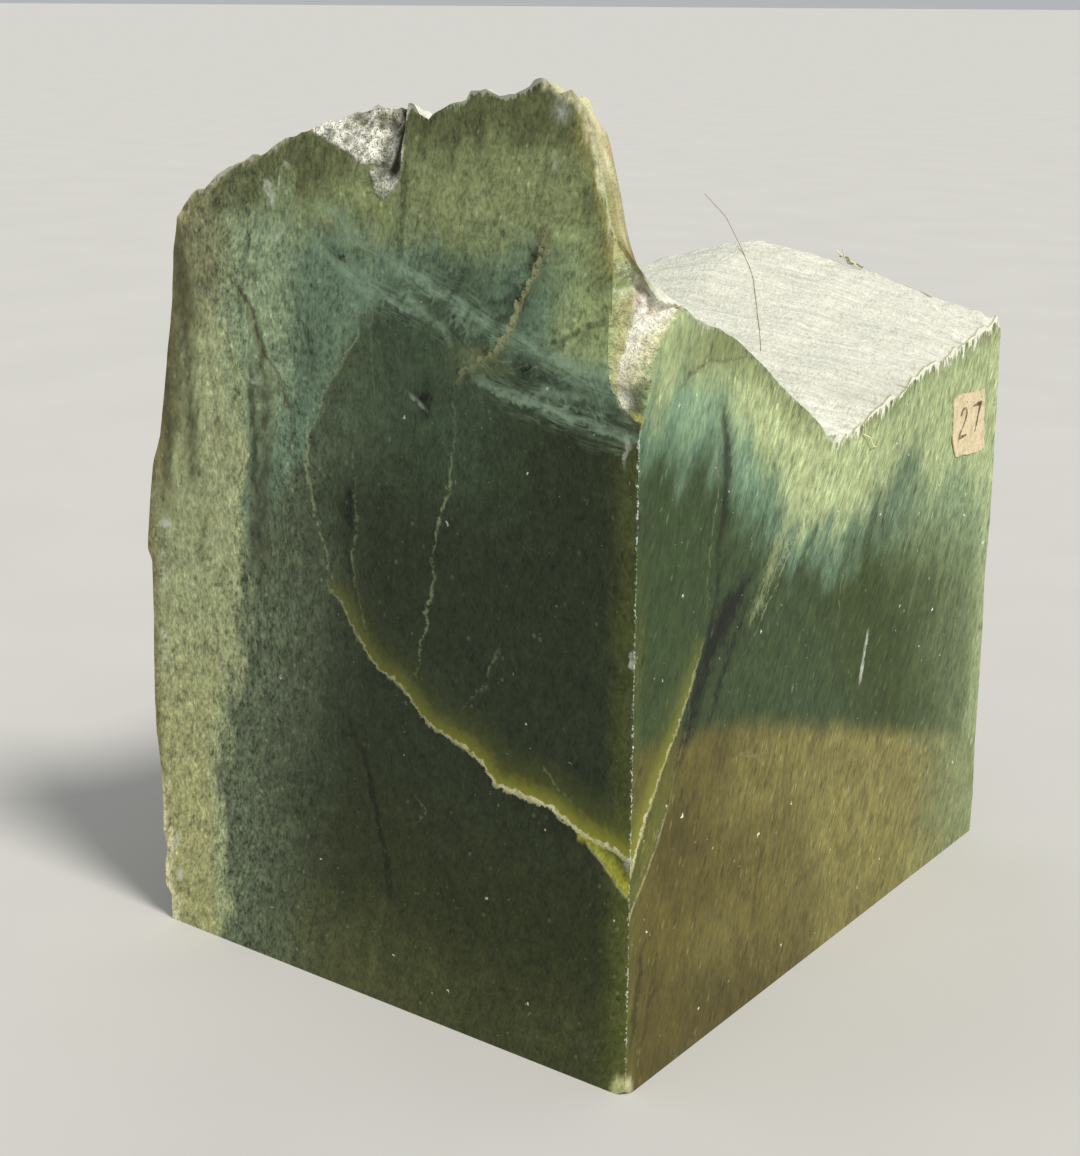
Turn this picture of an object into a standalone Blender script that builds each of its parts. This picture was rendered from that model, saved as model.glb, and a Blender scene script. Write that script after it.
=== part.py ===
"""Raw jade block: a piece sawn from a jade boulder, with a small paper label.

The front (-Y) and right (+X) faces and the base are sawn flat. The left side and the back are the
boulder's natural skin. The top is broken: a tall wedge behind the front face falls away to a wide
ledge at the back. Run in Blender 4.5: blender --background --python part.py
"""
import math

import bmesh
import bpy
import numpy as np

MM = 0.001

# Driving dimensions, in millimetres
BLOCK_WIDTH = 85.0
BLOCK_DEPTH = 105.0
PEAK_HEIGHT = 126.0
LABEL_GAP = 0.3
LABEL_THICKNESS = 0.3

# The origin is under the middle of stone and label together, so the stone sits a little to the left
LABEL_PROUD = LABEL_GAP + LABEL_THICKNESS
RIGHT = (BLOCK_WIDTH - LABEL_PROUD) / 2
LEFT = RIGHT - BLOCK_WIDTH
FRONT = -BLOCK_DEPTH / 2
BACK = BLOCK_DEPTH / 2

# Outlines. Distances are measured from the right or front sawn face, heights from the base.
# Crest of the front face: (distance left of the right face, height)
CREST = (
    (85, 104), (76, 106.2), (73.5, 109), (72.1, 110.3), (68.2, 112.3), (66.1, 113.2), (62.4, 115),
    (58.3, 116.6), (52.5, 119.2), (47, 120.8), (44, 122.3), (41, 123.6), (37, 123.4), (35, 123.4),
    (33.6, 123.6), (32.4, 122.1), (31.2, 121.6), (29.3, 122.9), (27.9, 123.6), (25.4, 123.6),
    (24.6, 124.8), (22.3, 125.1), (20, 124.2), (18.6, 124.7), (16.2, 125.5), (14, 126.6), (13, 126.2),
    (12.1, 125.4), (11, 125.9), (10, 125.5), (9.3, 124.2), (7.6, 122.4), (7, 120.8), (6.6, 119.2),
    (6.2, 117.8), (5.6, 115.6), (5.2, 113.8), (4.8, 111.8), (4.2, 110), (3.2, 108), (2.5, 106.8),
    (1.6, 105.7), (0, 104.4),
)
# Broken edge of the right face, from the front arris to the foot of the wedge: (distance back, height)
WEDGE_EDGE = (
    (0, 104.4), (3.4, 103.2), (7, 101.6), (9.2, 100.6), (11.6, 99.1), (14.2, 98), (17.1, 97.6),
    (20.1, 96.4), (23.2, 94.5), (29.6, 90.4), (32.3, 88.4), (35.8, 86), (40.7, 83.3), (43.6, 81.3),
    (46, 79), (52, 74.5), (75, 58), (105, 40),
)
# Rest of that edge, along the ledge: (distance back, height)
LEDGE_EDGE = (
    (0, 77.4), (48.2, 77.7), (51, 77.8), (55.3, 78.7), (62.6, 80.6), (67.2, 81.4), (74.1, 83.5),
    (78.2, 84.2), (84.5, 85.2), (90.6, 86.1), (97.2, 87.1), (101.4, 88.4), (105, 89.2),
)
# Height of the ledge's back edge: (distance left of the right face, height)
LEDGE_BACK = (
    (0, 89.2), (5, 91.1), (10, 92.8), (17, 94.4), (22, 96.6), (28, 98), (31, 99.1), (37, 100.8),
    (40, 101.7), (43, 101.5), (46, 100.7), (56, 97.4), (67, 93.4), (85, 87.6),
)
# Left skin at the front face: (height, distance in from the widest place)
LEFT_SKIN = (
    (0, 1.3), (4.3, 1.4), (5.3, 0.2), (9.2, 0.4), (11.7, 1), (14.8, 0.3), (17.7, 0.6), (26.1, 0.5),
    (30.4, 0), (36.9, 0), (44, 0.4), (48.8, 0.8), (57.2, 1), (58.7, 0.2), (60.8, 0.4), (65.9, 1.2),
    (71.9, 2.3), (76.1, 4.1), (84.2, 5.7), (95.5, 7.9), (102.3, 8.6), (105.7, 9.5), (126, 10.4),
)
# Back skin at the right face: (height, distance in from the deepest place)
BACK_SKIN = (
    (0, 0.3), (7, 0), (17, 0.8), (35, 1.2), (47, 2), (55, 1.6), (64, 1.9), (75, 2.3), (81, 2.7),
    (86, 2.9), (88, 4), (100, 6),
)

FLANK_SLANT = 0.75        # how far the crest line shifts left for each millimetre back
FLANK_DELAY = 3.5         # the crest keeps its line this far back before it shifts
EXTRA_FALL = 0.9          # how much steeper the wedge falls away from the right face
FALL_REACH = 30.0         # the steeper fall sets in over this distance from the right face
FLANK_WANDER = 3.0        # how far the shifted crest line strays from straight
WANDER_START = 12.0       # the straying begins this far back
WANDER_WAVES = (11.0, 23.0)   # lengths of the straying, back and across
SHOULDER_RADIUS = 16.0    # rounding of the boulder's left shoulder
SHOULDER_REACH = 25.0     # the rounding grows over this distance from the front face
BACK_LIP_RADIUS = 2.0     # rounding of the ledge's back edge
CORNER_RADIUS = 28.0      # rounding of the upright back left corner
CORNER_REACH = 55.0       # the back and left skins draw in towards that corner over this length
CORNER_PULL = 14.5        # and by this much
EVEN_STRIP = 12.0         # natural skin and ledge waves rise from nothing over this strip by a sawn face
STEP_BLEND = 9.0          # softness of the valley between wedge and ledge
STEP_REACH = 15.0         # the softness grows over this distance from the right face
SKIN_LUMP = 1.3           # height of the broad lumps on natural skin
BREAK_LUMP = 0.8          # height of the lumps on the broken wedge
BREAK_SCALE = 1.6         # the wedge's lumps are this much smaller than those of the skin
LEDGE_WAVE = 0.5          # height of the ledge's long waves, which run along X
LEDGE_WAVE_LENGTH = 4.3   # and their spacing
LEDGE_WAVE_TURN = 0.2     # and how far they turn from X
LEDGE_RISE = 0.1          # how fast the ledge's front part rises to the left

# The block is divided into a grid. Its lines are closer together near the peak and the front arris.
GRID = 30
GRID_ACROSS = ((0, 0), (21, 71), (GRID, BLOCK_WIDTH))
GRID_BACK = ((0, 0), (4, 8), (15, 46.5), (GRID, BLOCK_DEPTH))
FLAT_ANGLE = math.radians(0.2)
SETTLING_ROUNDS = 5

# Chip at the head of the front arris: heights, and how wide it opens on the two sawn faces
CHIP_FOOT = 90.0
CHIP_SHOULDER = 100.6
CHIP_TOP = 112.0
CHIP_FRONT_WIDTH = 3.0
CHIP_RIGHT_WIDTH = 8.1
# Chip at the foot of the same arris: equal width on the sawn faces, and its height
FOOT_CHIP = 1.4
# Spall on the front of the crest: a scoop cut by an upright egg shape
SPALL_CENTRE = (42.5, 11.5, 122.0)   # left of the right face, in front of the front face, height
SPALL_RADII = (11.5, 15.0, 15.5)

# Paper label on the right face: (distance back, height) of its corners
LABEL_OUTLINE = (
    (89.3, 68.1), (98.2, 67.8), (99.3, 69.1), (96.9, 77.6), (89.1, 78.2), (86.2, 77.6), (86.5, 71.2),
)

STONE_COLOUR = (0.085, 0.125, 0.058, 1.0)
PAPER_COLOUR = (0.72, 0.62, 0.44, 1.0)


def curve(points, at):
    """Height or offset read from an outline, straight between its points."""
    table = np.array(sorted(points), dtype=float)
    return np.interp(at, table[:, 0], table[:, 1])


def round_corner(a, b, radius):
    """Round off the corner at a = b = 0: square rings around it are carried onto circular rings."""
    inside = (a < radius) & (b < radius)
    from_a = a - radius
    from_b = b - radius
    length = np.maximum(np.hypot(from_a, from_b), 1e-9)
    shrink = np.maximum(np.abs(from_a), np.abs(from_b)) / length
    return np.where(inside, radius + from_a * shrink, a), np.where(inside, radius + from_b * shrink, b)


def lumps(a, b):
    """Broad uneven swelling of natural skin, between -1 and 1: a few crossed waves."""
    return (np.sin(a / 9.1 + 0.7) * np.sin(b / 12.7 + 2.1)
            + 0.6 * np.sin(a / 5.3 + 1.9 * np.sin(b / 8.3)) * np.sin(b / 6.1 + 0.4)) / 1.6


def top_height(x, y):
    """Height of the broken top: the higher of wedge and ledge, with a soft valley between them."""
    back = y - FRONT
    wave = np.sin(back / WANDER_WAVES[0] + x / WANDER_WAVES[1])
    wander = FLANK_WANDER * wave * np.clip((back - WANDER_START) / 20, 0, 1)
    slid = x + FLANK_SLANT * np.maximum(back - FLANK_DELAY, 0) + wander
    wedge = curve(WEDGE_EDGE, back) + curve(CREST, np.maximum(RIGHT - slid, 0)) - curve(CREST, 0)
    rough = lumps(BREAK_SCALE * x + 9, BREAK_SCALE * y)
    wedge = wedge + BREAK_LUMP * rough * np.clip((back - FLANK_DELAY) / 15, 0, 1)
    steeper = EXTRA_FALL * np.clip((RIGHT - x) / FALL_REACH, 0, 1)
    wedge = wedge - steeper * np.maximum(back - FLANK_DELAY, 0)
    blend = np.clip(back / BLOCK_DEPTH, 0, 1) ** 1.5
    hump = curve(LEDGE_BACK, RIGHT - x) - curve(LEDGE_BACK, 0)
    ledge = curve(LEDGE_EDGE, back) + hump * blend + LEDGE_RISE * (RIGHT - x) * (1 - blend)
    wave = np.sin((y - LEDGE_WAVE_TURN * x) / LEDGE_WAVE_LENGTH)
    ledge = ledge + LEDGE_WAVE * wave * np.clip((RIGHT - x) / EVEN_STRIP, 0, 1)
    soft = STEP_BLEND * np.clip((RIGHT - x) / STEP_REACH, 0.1, 1)
    share = np.clip(0.5 + (wedge - ledge) / (2 * soft), 0, 1)
    return ledge + (wedge - ledge) * share + soft * share * (1 - share)


def left_skin(y, z):
    """X of the natural left side."""
    away = np.clip((y - FRONT) / EVEN_STRIP, 0, 1)
    near = np.clip((y - BACK) / CORNER_REACH + 1, 0, 1)
    lump = SKIN_LUMP * (1 + lumps(y, z)) * away
    return LEFT + curve(LEFT_SKIN, z) + CORNER_PULL * near ** 2 + lump


def back_skin(x, z):
    """Y of the natural back."""
    away = np.clip((RIGHT - x) / EVEN_STRIP, 0, 1)
    near = np.clip((LEFT - x) / CORNER_REACH + 1, 0, 1)
    lump = SKIN_LUMP * (1 + lumps(x + 40, z + 17)) * away
    return BACK - curve(BACK_SKIN, z) - CORNER_PULL * near ** 2 - lump


def place(u, v, w):
    """Carry a unit cube's points onto the block: u to the right, v to the back, w up.

    The cube's natural edges are rounded first. Then each point's height is its share of the broken
    top above it, and its X and Y are its share of the way between the skins at that height. The
    three depend on each other, so they are settled in a few rounds.
    """
    across, behind, below = BLOCK_WIDTH * u, BLOCK_DEPTH * (1 - v), PEAK_HEIGHT * (1 - w)
    across, behind = round_corner(across, behind, CORNER_RADIUS)
    shoulder = SHOULDER_RADIUS * np.clip((BLOCK_DEPTH - behind) / SHOULDER_REACH, 0, 1)
    across, below = round_corner(across, below, shoulder)
    behind, below = round_corner(behind, below, BACK_LIP_RADIUS)
    u, v, w = across / BLOCK_WIDTH, 1 - behind / BLOCK_DEPTH, 1 - below / PEAK_HEIGHT
    x = LEFT + BLOCK_WIDTH * u
    y = FRONT + BLOCK_DEPTH * v
    for _ in range(SETTLING_ROUNDS):
        z = w * top_height(x, y)
        left = left_skin(y, z)
        back = back_skin(x, z)
        x = left + (RIGHT - left) * u
        y = FRONT + (back - FRONT) * v
    return np.stack([x, y, z], axis=1)


def new_material(name, colour, roughness):
    """A plain Principled material."""
    material = bpy.data.materials.new(name)
    material.use_nodes = True
    shader = material.node_tree.nodes["Principled BSDF"]
    shader.inputs["Base Color"].default_value = colour
    shader.inputs["Roughness"].default_value = roughness
    shader.inputs["Metallic"].default_value = 0.0
    material.diffuse_color = colour
    return material


def add_object(name, bm, material=None):
    """Turn a finished bmesh, in millimetres, into a named object in metres."""
    bmesh.ops.scale(bm, vec=(MM, MM, MM), verts=bm.verts)
    bmesh.ops.recalc_face_normals(bm, faces=bm.faces)
    mesh = bpy.data.meshes.new(name)
    bm.to_mesh(mesh)
    bm.free()
    thing = bpy.data.objects.new(name, mesh)
    bpy.context.collection.objects.link(thing)
    if material:
        mesh.materials.append(material)
    return thing


def add_cutter(name, bm, target):
    """A hidden solid that is taken away from its target."""
    cutter = add_object(name, bm)
    cutter.display_type = 'WIRE'
    cutter.hide_render = True
    cut = target.modifiers.new(name, 'BOOLEAN')
    cut.operation = 'DIFFERENCE'
    cut.solver = 'EXACT'
    cut.object = cutter
    return cutter


def hull_of(points):
    """The convex solid around a few corner points."""
    bm = bmesh.new()
    for point in points:
        bm.verts.new(point)
    hull = bmesh.ops.convex_hull(bm, input=bm.verts)
    spare = hull["geom_unused"] + hull["geom_interior"]
    loose = [item for item in spare if isinstance(item, bmesh.types.BMVert)]
    bmesh.ops.delete(bm, geom=loose, context='VERTS')
    return bm


def make_stone(material):
    """The block: a finely divided cube whose points are carried onto the block's own surfaces."""
    bm = bmesh.new()
    bmesh.ops.create_cube(bm, size=1.0)
    bmesh.ops.subdivide_edges(bm, edges=bm.edges, cuts=GRID - 1, use_grid_fill=True)
    line = (np.array([vert.co[:] for vert in bm.verts]) + 0.5) * GRID
    across = curve(GRID_ACROSS, line[:, 0]) / BLOCK_WIDTH
    behind = curve(GRID_BACK, line[:, 1]) / BLOCK_DEPTH
    for vert, point in zip(bm.verts, place(across, behind, line[:, 2] / GRID)):
        vert.co = point
    # the sawn faces become single flat faces
    bmesh.ops.dissolve_limit(bm, angle_limit=FLAT_ANGLE, verts=bm.verts, edges=bm.edges)
    bmesh.ops.triangulate(bm, faces=bm.faces)
    return add_object("jade_block", bm, material)


def arris_chip_cutter():
    """Two flats over the head of the front arris: a slanting toe, and an upright part above it."""
    front_x = RIGHT - CHIP_FRONT_WIDTH
    right_y = FRONT + CHIP_RIGHT_WIDTH
    clear = 4.0
    return hull_of((
        (RIGHT, FRONT, CHIP_FOOT),
        (front_x, FRONT, CHIP_SHOULDER), (RIGHT, right_y, CHIP_SHOULDER),
        (front_x, FRONT, CHIP_TOP), (RIGHT, right_y, CHIP_TOP),
        (RIGHT + clear, FRONT - clear, CHIP_FOOT - 1), (RIGHT + clear, FRONT - clear, CHIP_TOP),
        (front_x, FRONT - clear, CHIP_SHOULDER), (front_x, FRONT - clear, CHIP_TOP),
        (RIGHT + clear, right_y, CHIP_SHOULDER), (RIGHT + clear, right_y, CHIP_TOP),
    ))


def foot_chip_cutter():
    """A small slanting flat over the foot of the front arris."""
    clear = 2.0
    return hull_of((
        (RIGHT - FOOT_CHIP, FRONT, 0), (RIGHT, FRONT + FOOT_CHIP, 0), (RIGHT, FRONT, FOOT_CHIP),
        (RIGHT + clear, FRONT - clear, -clear), (RIGHT - FOOT_CHIP, FRONT - clear, -clear),
        (RIGHT + clear, FRONT + FOOT_CHIP, -clear), (RIGHT + clear, FRONT - clear, FOOT_CHIP),
        (RIGHT - FOOT_CHIP, FRONT, -clear), (RIGHT, FRONT + FOOT_CHIP, -clear),
    ))


def spall_cutter():
    """An egg shape that scoops the front of the crest."""
    bm = bmesh.new()
    bmesh.ops.create_icosphere(bm, subdivisions=3, radius=1.0)
    left, ahead, height = SPALL_CENTRE
    bmesh.ops.scale(bm, vec=SPALL_RADII, verts=bm.verts)
    bmesh.ops.translate(bm, vec=(RIGHT - left, FRONT - ahead, height), verts=bm.verts)
    return bm


def make_label(material):
    """The paper label: its outline, extruded to its thickness, standing just off the right face."""
    bm = bmesh.new()
    base = RIGHT + LABEL_GAP
    corners = [bm.verts.new((base, FRONT + back, height)) for back, height in LABEL_OUTLINE]
    sheet = bm.faces.new(corners)
    grown = bmesh.ops.extrude_face_region(bm, geom=[sheet], use_keep_orig=True)
    moved = [item for item in grown["geom"] if isinstance(item, bmesh.types.BMVert)]
    bmesh.ops.translate(bm, vec=(LABEL_THICKNESS, 0, 0), verts=moved)
    return add_object("paper_label", bm, material)


def main():
    for thing in list(bpy.data.objects):
        bpy.data.objects.remove(thing, do_unlink=True)
    stone = make_stone(new_material("jade", STONE_COLOUR, 0.45))
    add_cutter("arris_chip_cutter", arris_chip_cutter(), stone)
    add_cutter("foot_chip_cutter", foot_chip_cutter(), stone)
    add_cutter("spall_cutter", spall_cutter(), stone)
    make_label(new_material("label_paper", PAPER_COLOUR, 0.9))


main()
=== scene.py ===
"""Looks of the raw jade block: its fine surface, its markings, its paper label and a plain stage.

Laid out as a Blender add-on and run as a script. Lengths inside the shape functions are in
millimetres. Distances are measured from the two sawn faces: "left of the right face" is written a,
"back from the front face" is written b, and heights z are measured from the base.
"""

import math

import bpy
import numpy as np
from bpy.props import FloatProperty, FloatVectorProperty, IntProperty, PointerProperty
from mathutils import Matrix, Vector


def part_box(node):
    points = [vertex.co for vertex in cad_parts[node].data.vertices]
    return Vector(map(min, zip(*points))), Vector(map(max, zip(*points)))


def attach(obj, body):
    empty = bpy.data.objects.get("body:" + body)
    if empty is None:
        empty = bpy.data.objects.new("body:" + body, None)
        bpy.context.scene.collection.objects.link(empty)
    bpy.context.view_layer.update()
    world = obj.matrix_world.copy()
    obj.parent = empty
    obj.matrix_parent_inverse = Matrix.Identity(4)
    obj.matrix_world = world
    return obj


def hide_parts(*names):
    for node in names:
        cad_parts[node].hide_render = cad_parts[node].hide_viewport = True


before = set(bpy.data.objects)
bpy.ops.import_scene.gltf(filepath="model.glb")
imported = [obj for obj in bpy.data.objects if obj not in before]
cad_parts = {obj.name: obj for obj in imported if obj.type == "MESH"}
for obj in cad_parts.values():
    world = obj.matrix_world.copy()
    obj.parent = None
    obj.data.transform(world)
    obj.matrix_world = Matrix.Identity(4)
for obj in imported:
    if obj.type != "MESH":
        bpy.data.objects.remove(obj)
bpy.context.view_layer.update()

bl_info = {
    "name": "Raw jade block",
    "version": (1, 0, 0),
    "blender": (4, 5, 0),
    "location": "3D View > Sidebar > Jade",
    "description": "Builds the fine surface of a sawn jade block, its label and a plain stage",
    "category": "Add Mesh",
}

MM = 0.001
STONE_NODE = "jade_block"
LABEL_NODE = "paper_label"

# --- measures of the block, from the frame, in millimetres ----------------------------------------
STONE_LOW, STONE_HIGH = (tuple(value / MM for value in corner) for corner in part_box(STONE_NODE))
BLOCK_WIDTH = 85.0
BLOCK_DEPTH = 105.0
PEAK_HEIGHT = 126.0
RIGHT = STONE_HIGH[0]
LEFT = RIGHT - BLOCK_WIDTH
FRONT = STONE_LOW[1]
BACK = FRONT + BLOCK_DEPTH

# Outlines, as in the part's source: pairs of distance and height, or of height and distance in
CREST = (
    (85, 104), (76, 106.2), (73.5, 109), (72.1, 110.3), (68.2, 112.3), (66.1, 113.2), (62.4, 115),
    (58.3, 116.6), (52.5, 119.2), (47, 120.8), (44, 122.3), (41, 123.6), (37, 123.4), (35, 123.4),
    (33.6, 123.6), (32.4, 122.1), (31.2, 121.6), (29.3, 122.9), (27.9, 123.6), (25.4, 123.6),
    (24.6, 124.8), (22.3, 125.1), (20, 124.2), (18.6, 124.7), (16.2, 125.5), (14, 126.6), (13, 126.2),
    (12.1, 125.4), (11, 125.9), (10, 125.5), (9.3, 124.2), (7.6, 122.4), (7, 120.8), (6.6, 119.2),
    (6.2, 117.8), (5.6, 115.6), (5.2, 113.8), (4.8, 111.8), (4.2, 110), (3.2, 108), (2.5, 106.8),
    (1.6, 105.7), (0, 104.4),
)
WEDGE_EDGE = (
    (0, 104.4), (3.4, 103.2), (7, 101.6), (9.2, 100.6), (11.6, 99.1), (14.2, 98), (17.1, 97.6),
    (20.1, 96.4), (23.2, 94.5), (29.6, 90.4), (32.3, 88.4), (35.8, 86), (40.7, 83.3), (43.6, 81.3),
    (46, 79), (52, 74.5), (75, 58), (105, 40),
)
LEDGE_EDGE = (
    (0, 77.4), (48.2, 77.7), (51, 77.8), (55.3, 78.7), (62.6, 80.6), (67.2, 81.4), (74.1, 83.5),
    (78.2, 84.2), (84.5, 85.2), (90.6, 86.1), (97.2, 87.1), (101.4, 88.4), (105, 89.2),
)
LEDGE_BACK = (
    (0, 89.2), (5, 91.1), (10, 92.8), (17, 94.4), (22, 96.6), (28, 98), (31, 99.1), (37, 100.8),
    (40, 101.7), (43, 101.5), (46, 100.7), (56, 97.4), (67, 93.4), (85, 87.6),
)
LEFT_SKIN = (
    (0, 1.3), (4.3, 1.4), (5.3, 0.2), (9.2, 0.4), (11.7, 1), (14.8, 0.3), (17.7, 0.6), (26.1, 0.5),
    (30.4, 0), (36.9, 0), (44, 0.4), (48.8, 0.8), (57.2, 1), (58.7, 0.2), (60.8, 0.4), (65.9, 1.2),
    (71.9, 2.3), (76.1, 4.1), (84.2, 5.7), (95.5, 7.9), (102.3, 8.6), (105.7, 9.5), (126, 10.4),
)
BACK_SKIN = (
    (0, 0.3), (7, 0), (17, 0.8), (35, 1.2), (47, 2), (55, 1.6), (64, 1.9), (75, 2.3), (81, 2.7),
    (86, 2.9), (88, 4), (100, 6),
)
FLANK_SLANT = 0.75
FLANK_DELAY = 3.5
EXTRA_FALL = 0.9
FLANK_WANDER = 3.0
WANDER_START = 12.0
WANDER_WAVES = (11.0, 23.0)
FALL_REACH = 30.0
SHOULDER_RADIUS = 16.0
SHOULDER_REACH = 25.0
BACK_LIP_RADIUS = 2.0
CORNER_RADIUS = 28.0
CORNER_REACH = 55.0
CORNER_PULL = 14.5
EVEN_STRIP = 12.0
STEP_BLEND = 9.0
STEP_REACH = 15.0
SKIN_LUMP = 1.3
BREAK_LUMP = 0.8
BREAK_SCALE = 1.6
LEDGE_WAVE = 0.5
LEDGE_WAVE_LENGTH = 4.3
LEDGE_WAVE_TURN = 0.2
LEDGE_RISE = 0.1
SETTLING_ROUNDS = 5

# Fine grid: divisions across, back and up, and where the lines crowd together
GRID_ACROSS = ((0, 0), (0.74, 71), (1, BLOCK_WIDTH))
GRID_BACK = ((0, 0), (0.11, 8), (0.46, 46.5), (1, BLOCK_DEPTH))

# Spall on the front of the crest: (distance left, height of its lower edge), and how fast it deepens
SPALL_EDGE = (
    (32, 140), (33.2, 123.7), (34.8, 121.3), (35.4, 118.5), (35.2, 116.2), (35.9, 114.1), (37.2, 112.4),
    (38.7, 111.3), (40.2, 112.4), (40.6, 115.2), (43.5, 116.5), (45.8, 117.5), (48.7, 119), (50.1, 119.6),
    (52, 120), (54, 140),
)
SPALL_OUTLINE = (
    (31.8, 126), (33, 123.7), (34.8, 121.3), (35.5, 118.8), (35.1, 116.5), (35.9, 114.1), (37.4, 112.1),
    (38.7, 111.3), (40.2, 112.1), (40.5, 114.4), (40.5, 115.6), (42.4, 115.7), (44.5, 117.1), (47.6, 118.1),
    (50.1, 119.3), (52, 120.4), (53, 124),
)
SPALL_SLOPE = 0.32
# Chip at the head of the front arris: (height, how wide it opens), and its outline on each face
CHIP_ON_FRONT = (
    (88.6, 0), (89.6, 2.6), (90.9, 3.5), (93, 4.4), (96.9, 4.6), (100.9, 4.3), (103.6, 3.9), (106.8, 3.8),
    (108, 3.9),
)
CHIP_ON_RIGHT = (
    (87.6, 0), (88.7, 1.1), (91.1, 1.5), (93.1, 2.2), (94.7, 2.6), (96.1, 3.5), (97.9, 4.6), (99.2, 6.5),
    (100.5, 9.2), (108, 10),
)
CHIP_FRONT_OUTLINE = (
    (-2, 88.2), (0.8, 88.7), (2.6, 89.6), (3.5, 90.9), (4.4, 93), (4.6, 96.9), (4.3, 100.9), (3.9, 103.6),
    (3.8, 106.8), (4.1, 108.7),
)
CHIP_RIGHT_OUTLINE = (
    (-2, 86.6), (0.7, 87.8), (1.1, 88.7), (1.5, 91.1), (2.2, 93.1), (2.6, 94.7), (3.5, 96.1), (4.6, 97.9),
    (6.5, 99.2), (9.2, 100.5), (11.5, 100.2),
)
CHIP_HOLLOW = 0.7
FOOT_CHIP = 1.4


# --- numbers over arrays --------------------------------------------------------------------------
def curve(points, at):
    """Value read from an outline at each place, straight between its points."""
    table = np.array(sorted(points), dtype=float)
    return np.interp(at, table[:, 0], table[:, 1])


def smooth(low, high, value):
    """Smooth step: 0 below low, 1 above high, and an S-shaped rise between."""
    t = np.clip((value - low) / (high - low), 0, 1)
    return t * t * (3 - 2 * t)


def grain(a, b, seed):
    """Smooth random height, -1 to 1: random values on a unit lattice, joined by smooth steps."""
    cell_a, cell_b = np.floor(a), np.floor(b)
    part_a, part_b = smooth(0, 1, a - cell_a), smooth(0, 1, b - cell_b)

    def knot(i, j):
        stirred = i.astype(np.int64) * 374761393 + j.astype(np.int64) * 668265263
        stirred = (stirred + seed * 1442695041) & 0xFFFFFFFF
        stirred = ((stirred ^ (stirred >> 13)) * 1274126177) & 0xFFFFFFFF
        return ((stirred ^ (stirred >> 16)) & 0xFFFFFF) / float(0x7FFFFF) - 1

    low = knot(cell_a, cell_b) * (1 - part_a) + knot(cell_a + 1, cell_b) * part_a
    high = knot(cell_a, cell_b + 1) * (1 - part_a) + knot(cell_a + 1, cell_b + 1) * part_a
    return low * (1 - part_b) + high * part_b


def layered(a, b, seed, size, layers=3):
    """Several layers of grain, each at under half the size and half the height of the one before."""
    total = 0
    for layer in range(layers):
        shrink = 2.3 ** layer
        total = total + grain(a / size * shrink + 3.7 * layer, b / size * shrink, seed + layer) / 2 ** layer
    return total


def lumps(a, b):
    """Broad uneven swelling of natural skin, between -1 and 1: a few crossed waves."""
    return (np.sin(a / 9.1 + 0.7) * np.sin(b / 12.7 + 2.1)
            + 0.6 * np.sin(a / 5.3 + 1.9 * np.sin(b / 8.3)) * np.sin(b / 6.1 + 0.4)) / 1.6


def round_corner(a, b, radius):
    """Round off the corner at a = b = 0: square rings around it are carried onto circular rings."""
    inside = (a < radius) & (b < radius)
    from_a = a - radius
    from_b = b - radius
    length = np.maximum(np.hypot(from_a, from_b), 1e-9)
    shrink = np.maximum(np.abs(from_a), np.abs(from_b)) / length
    return np.where(inside, radius + from_a * shrink, a), np.where(inside, radius + from_b * shrink, b)


# --- the block's surfaces -------------------------------------------------------------------------
def wedge_height(x, y, relief):
    """Height of the tall wedge: the crest line, slid left as it goes back, on the right edge's fall."""
    back = y - FRONT
    wander = FLANK_WANDER * np.sin(back / WANDER_WAVES[0] + x / WANDER_WAVES[1])
    wander = wander * np.clip((back - WANDER_START) / 20, 0, 1)
    slid = x + FLANK_SLANT * np.maximum(back - FLANK_DELAY, 0) + wander
    wedge = curve(WEDGE_EDGE, back) + curve(CREST, np.maximum(RIGHT - slid, 0)) - curve(CREST, 0)
    wedge = wedge + (BREAK_LUMP * lumps(BREAK_SCALE * x + 9, BREAK_SCALE * y)
                     * np.clip((back - 3) / 15, 0, 1))
    wedge = wedge - EXTRA_FALL * np.maximum(back - FLANK_DELAY, 0) * np.clip((RIGHT - x) / FALL_REACH, 0, 1)
    calm = np.clip((RIGHT - x) / 4, 0.35, 1)
    rough = 0.55 * layered(x, y, 11, 3.4) + 0.25 * grain(x / 0.9, y / 1.1, 15)
    return wedge + relief * rough * calm


def ledge_height(x, y, relief):
    """Height of the wide ledge: its right and back edges, long flutes along X, and crumbly patches."""
    back = y - FRONT
    blend = np.clip(back / BLOCK_DEPTH, 0, 1) ** 1.5
    hump = curve(LEDGE_BACK, RIGHT - x) - curve(LEDGE_BACK, 0)
    ledge = curve(LEDGE_EDGE, back) + hump * blend + LEDGE_RISE * (RIGHT - x) * (1 - blend)
    across = y - LEDGE_WAVE_TURN * x
    ledge = ledge + (LEDGE_WAVE * np.sin(across / LEDGE_WAVE_LENGTH)
                     * np.clip((RIGHT - x) / EVEN_STRIP, 0, 1))
    flutes = 0.26 * grain(across / 1.3, x / 16, 21) + 0.3 * grain(across / 3.1, x / 26, 22)
    teeth = 0.5 * grain(across / 1.5, x / 6, 23) * smooth(7, 0, RIGHT - x)
    crumbly = 0.35 + smooth(80, 98, back) + smooth(16, 0, np.abs(back - 46))
    crumbs = 0.25 * layered(x, y, 24, 1.7, 2) * crumbly
    return ledge + relief * (flutes + teeth + crumbs)


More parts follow.
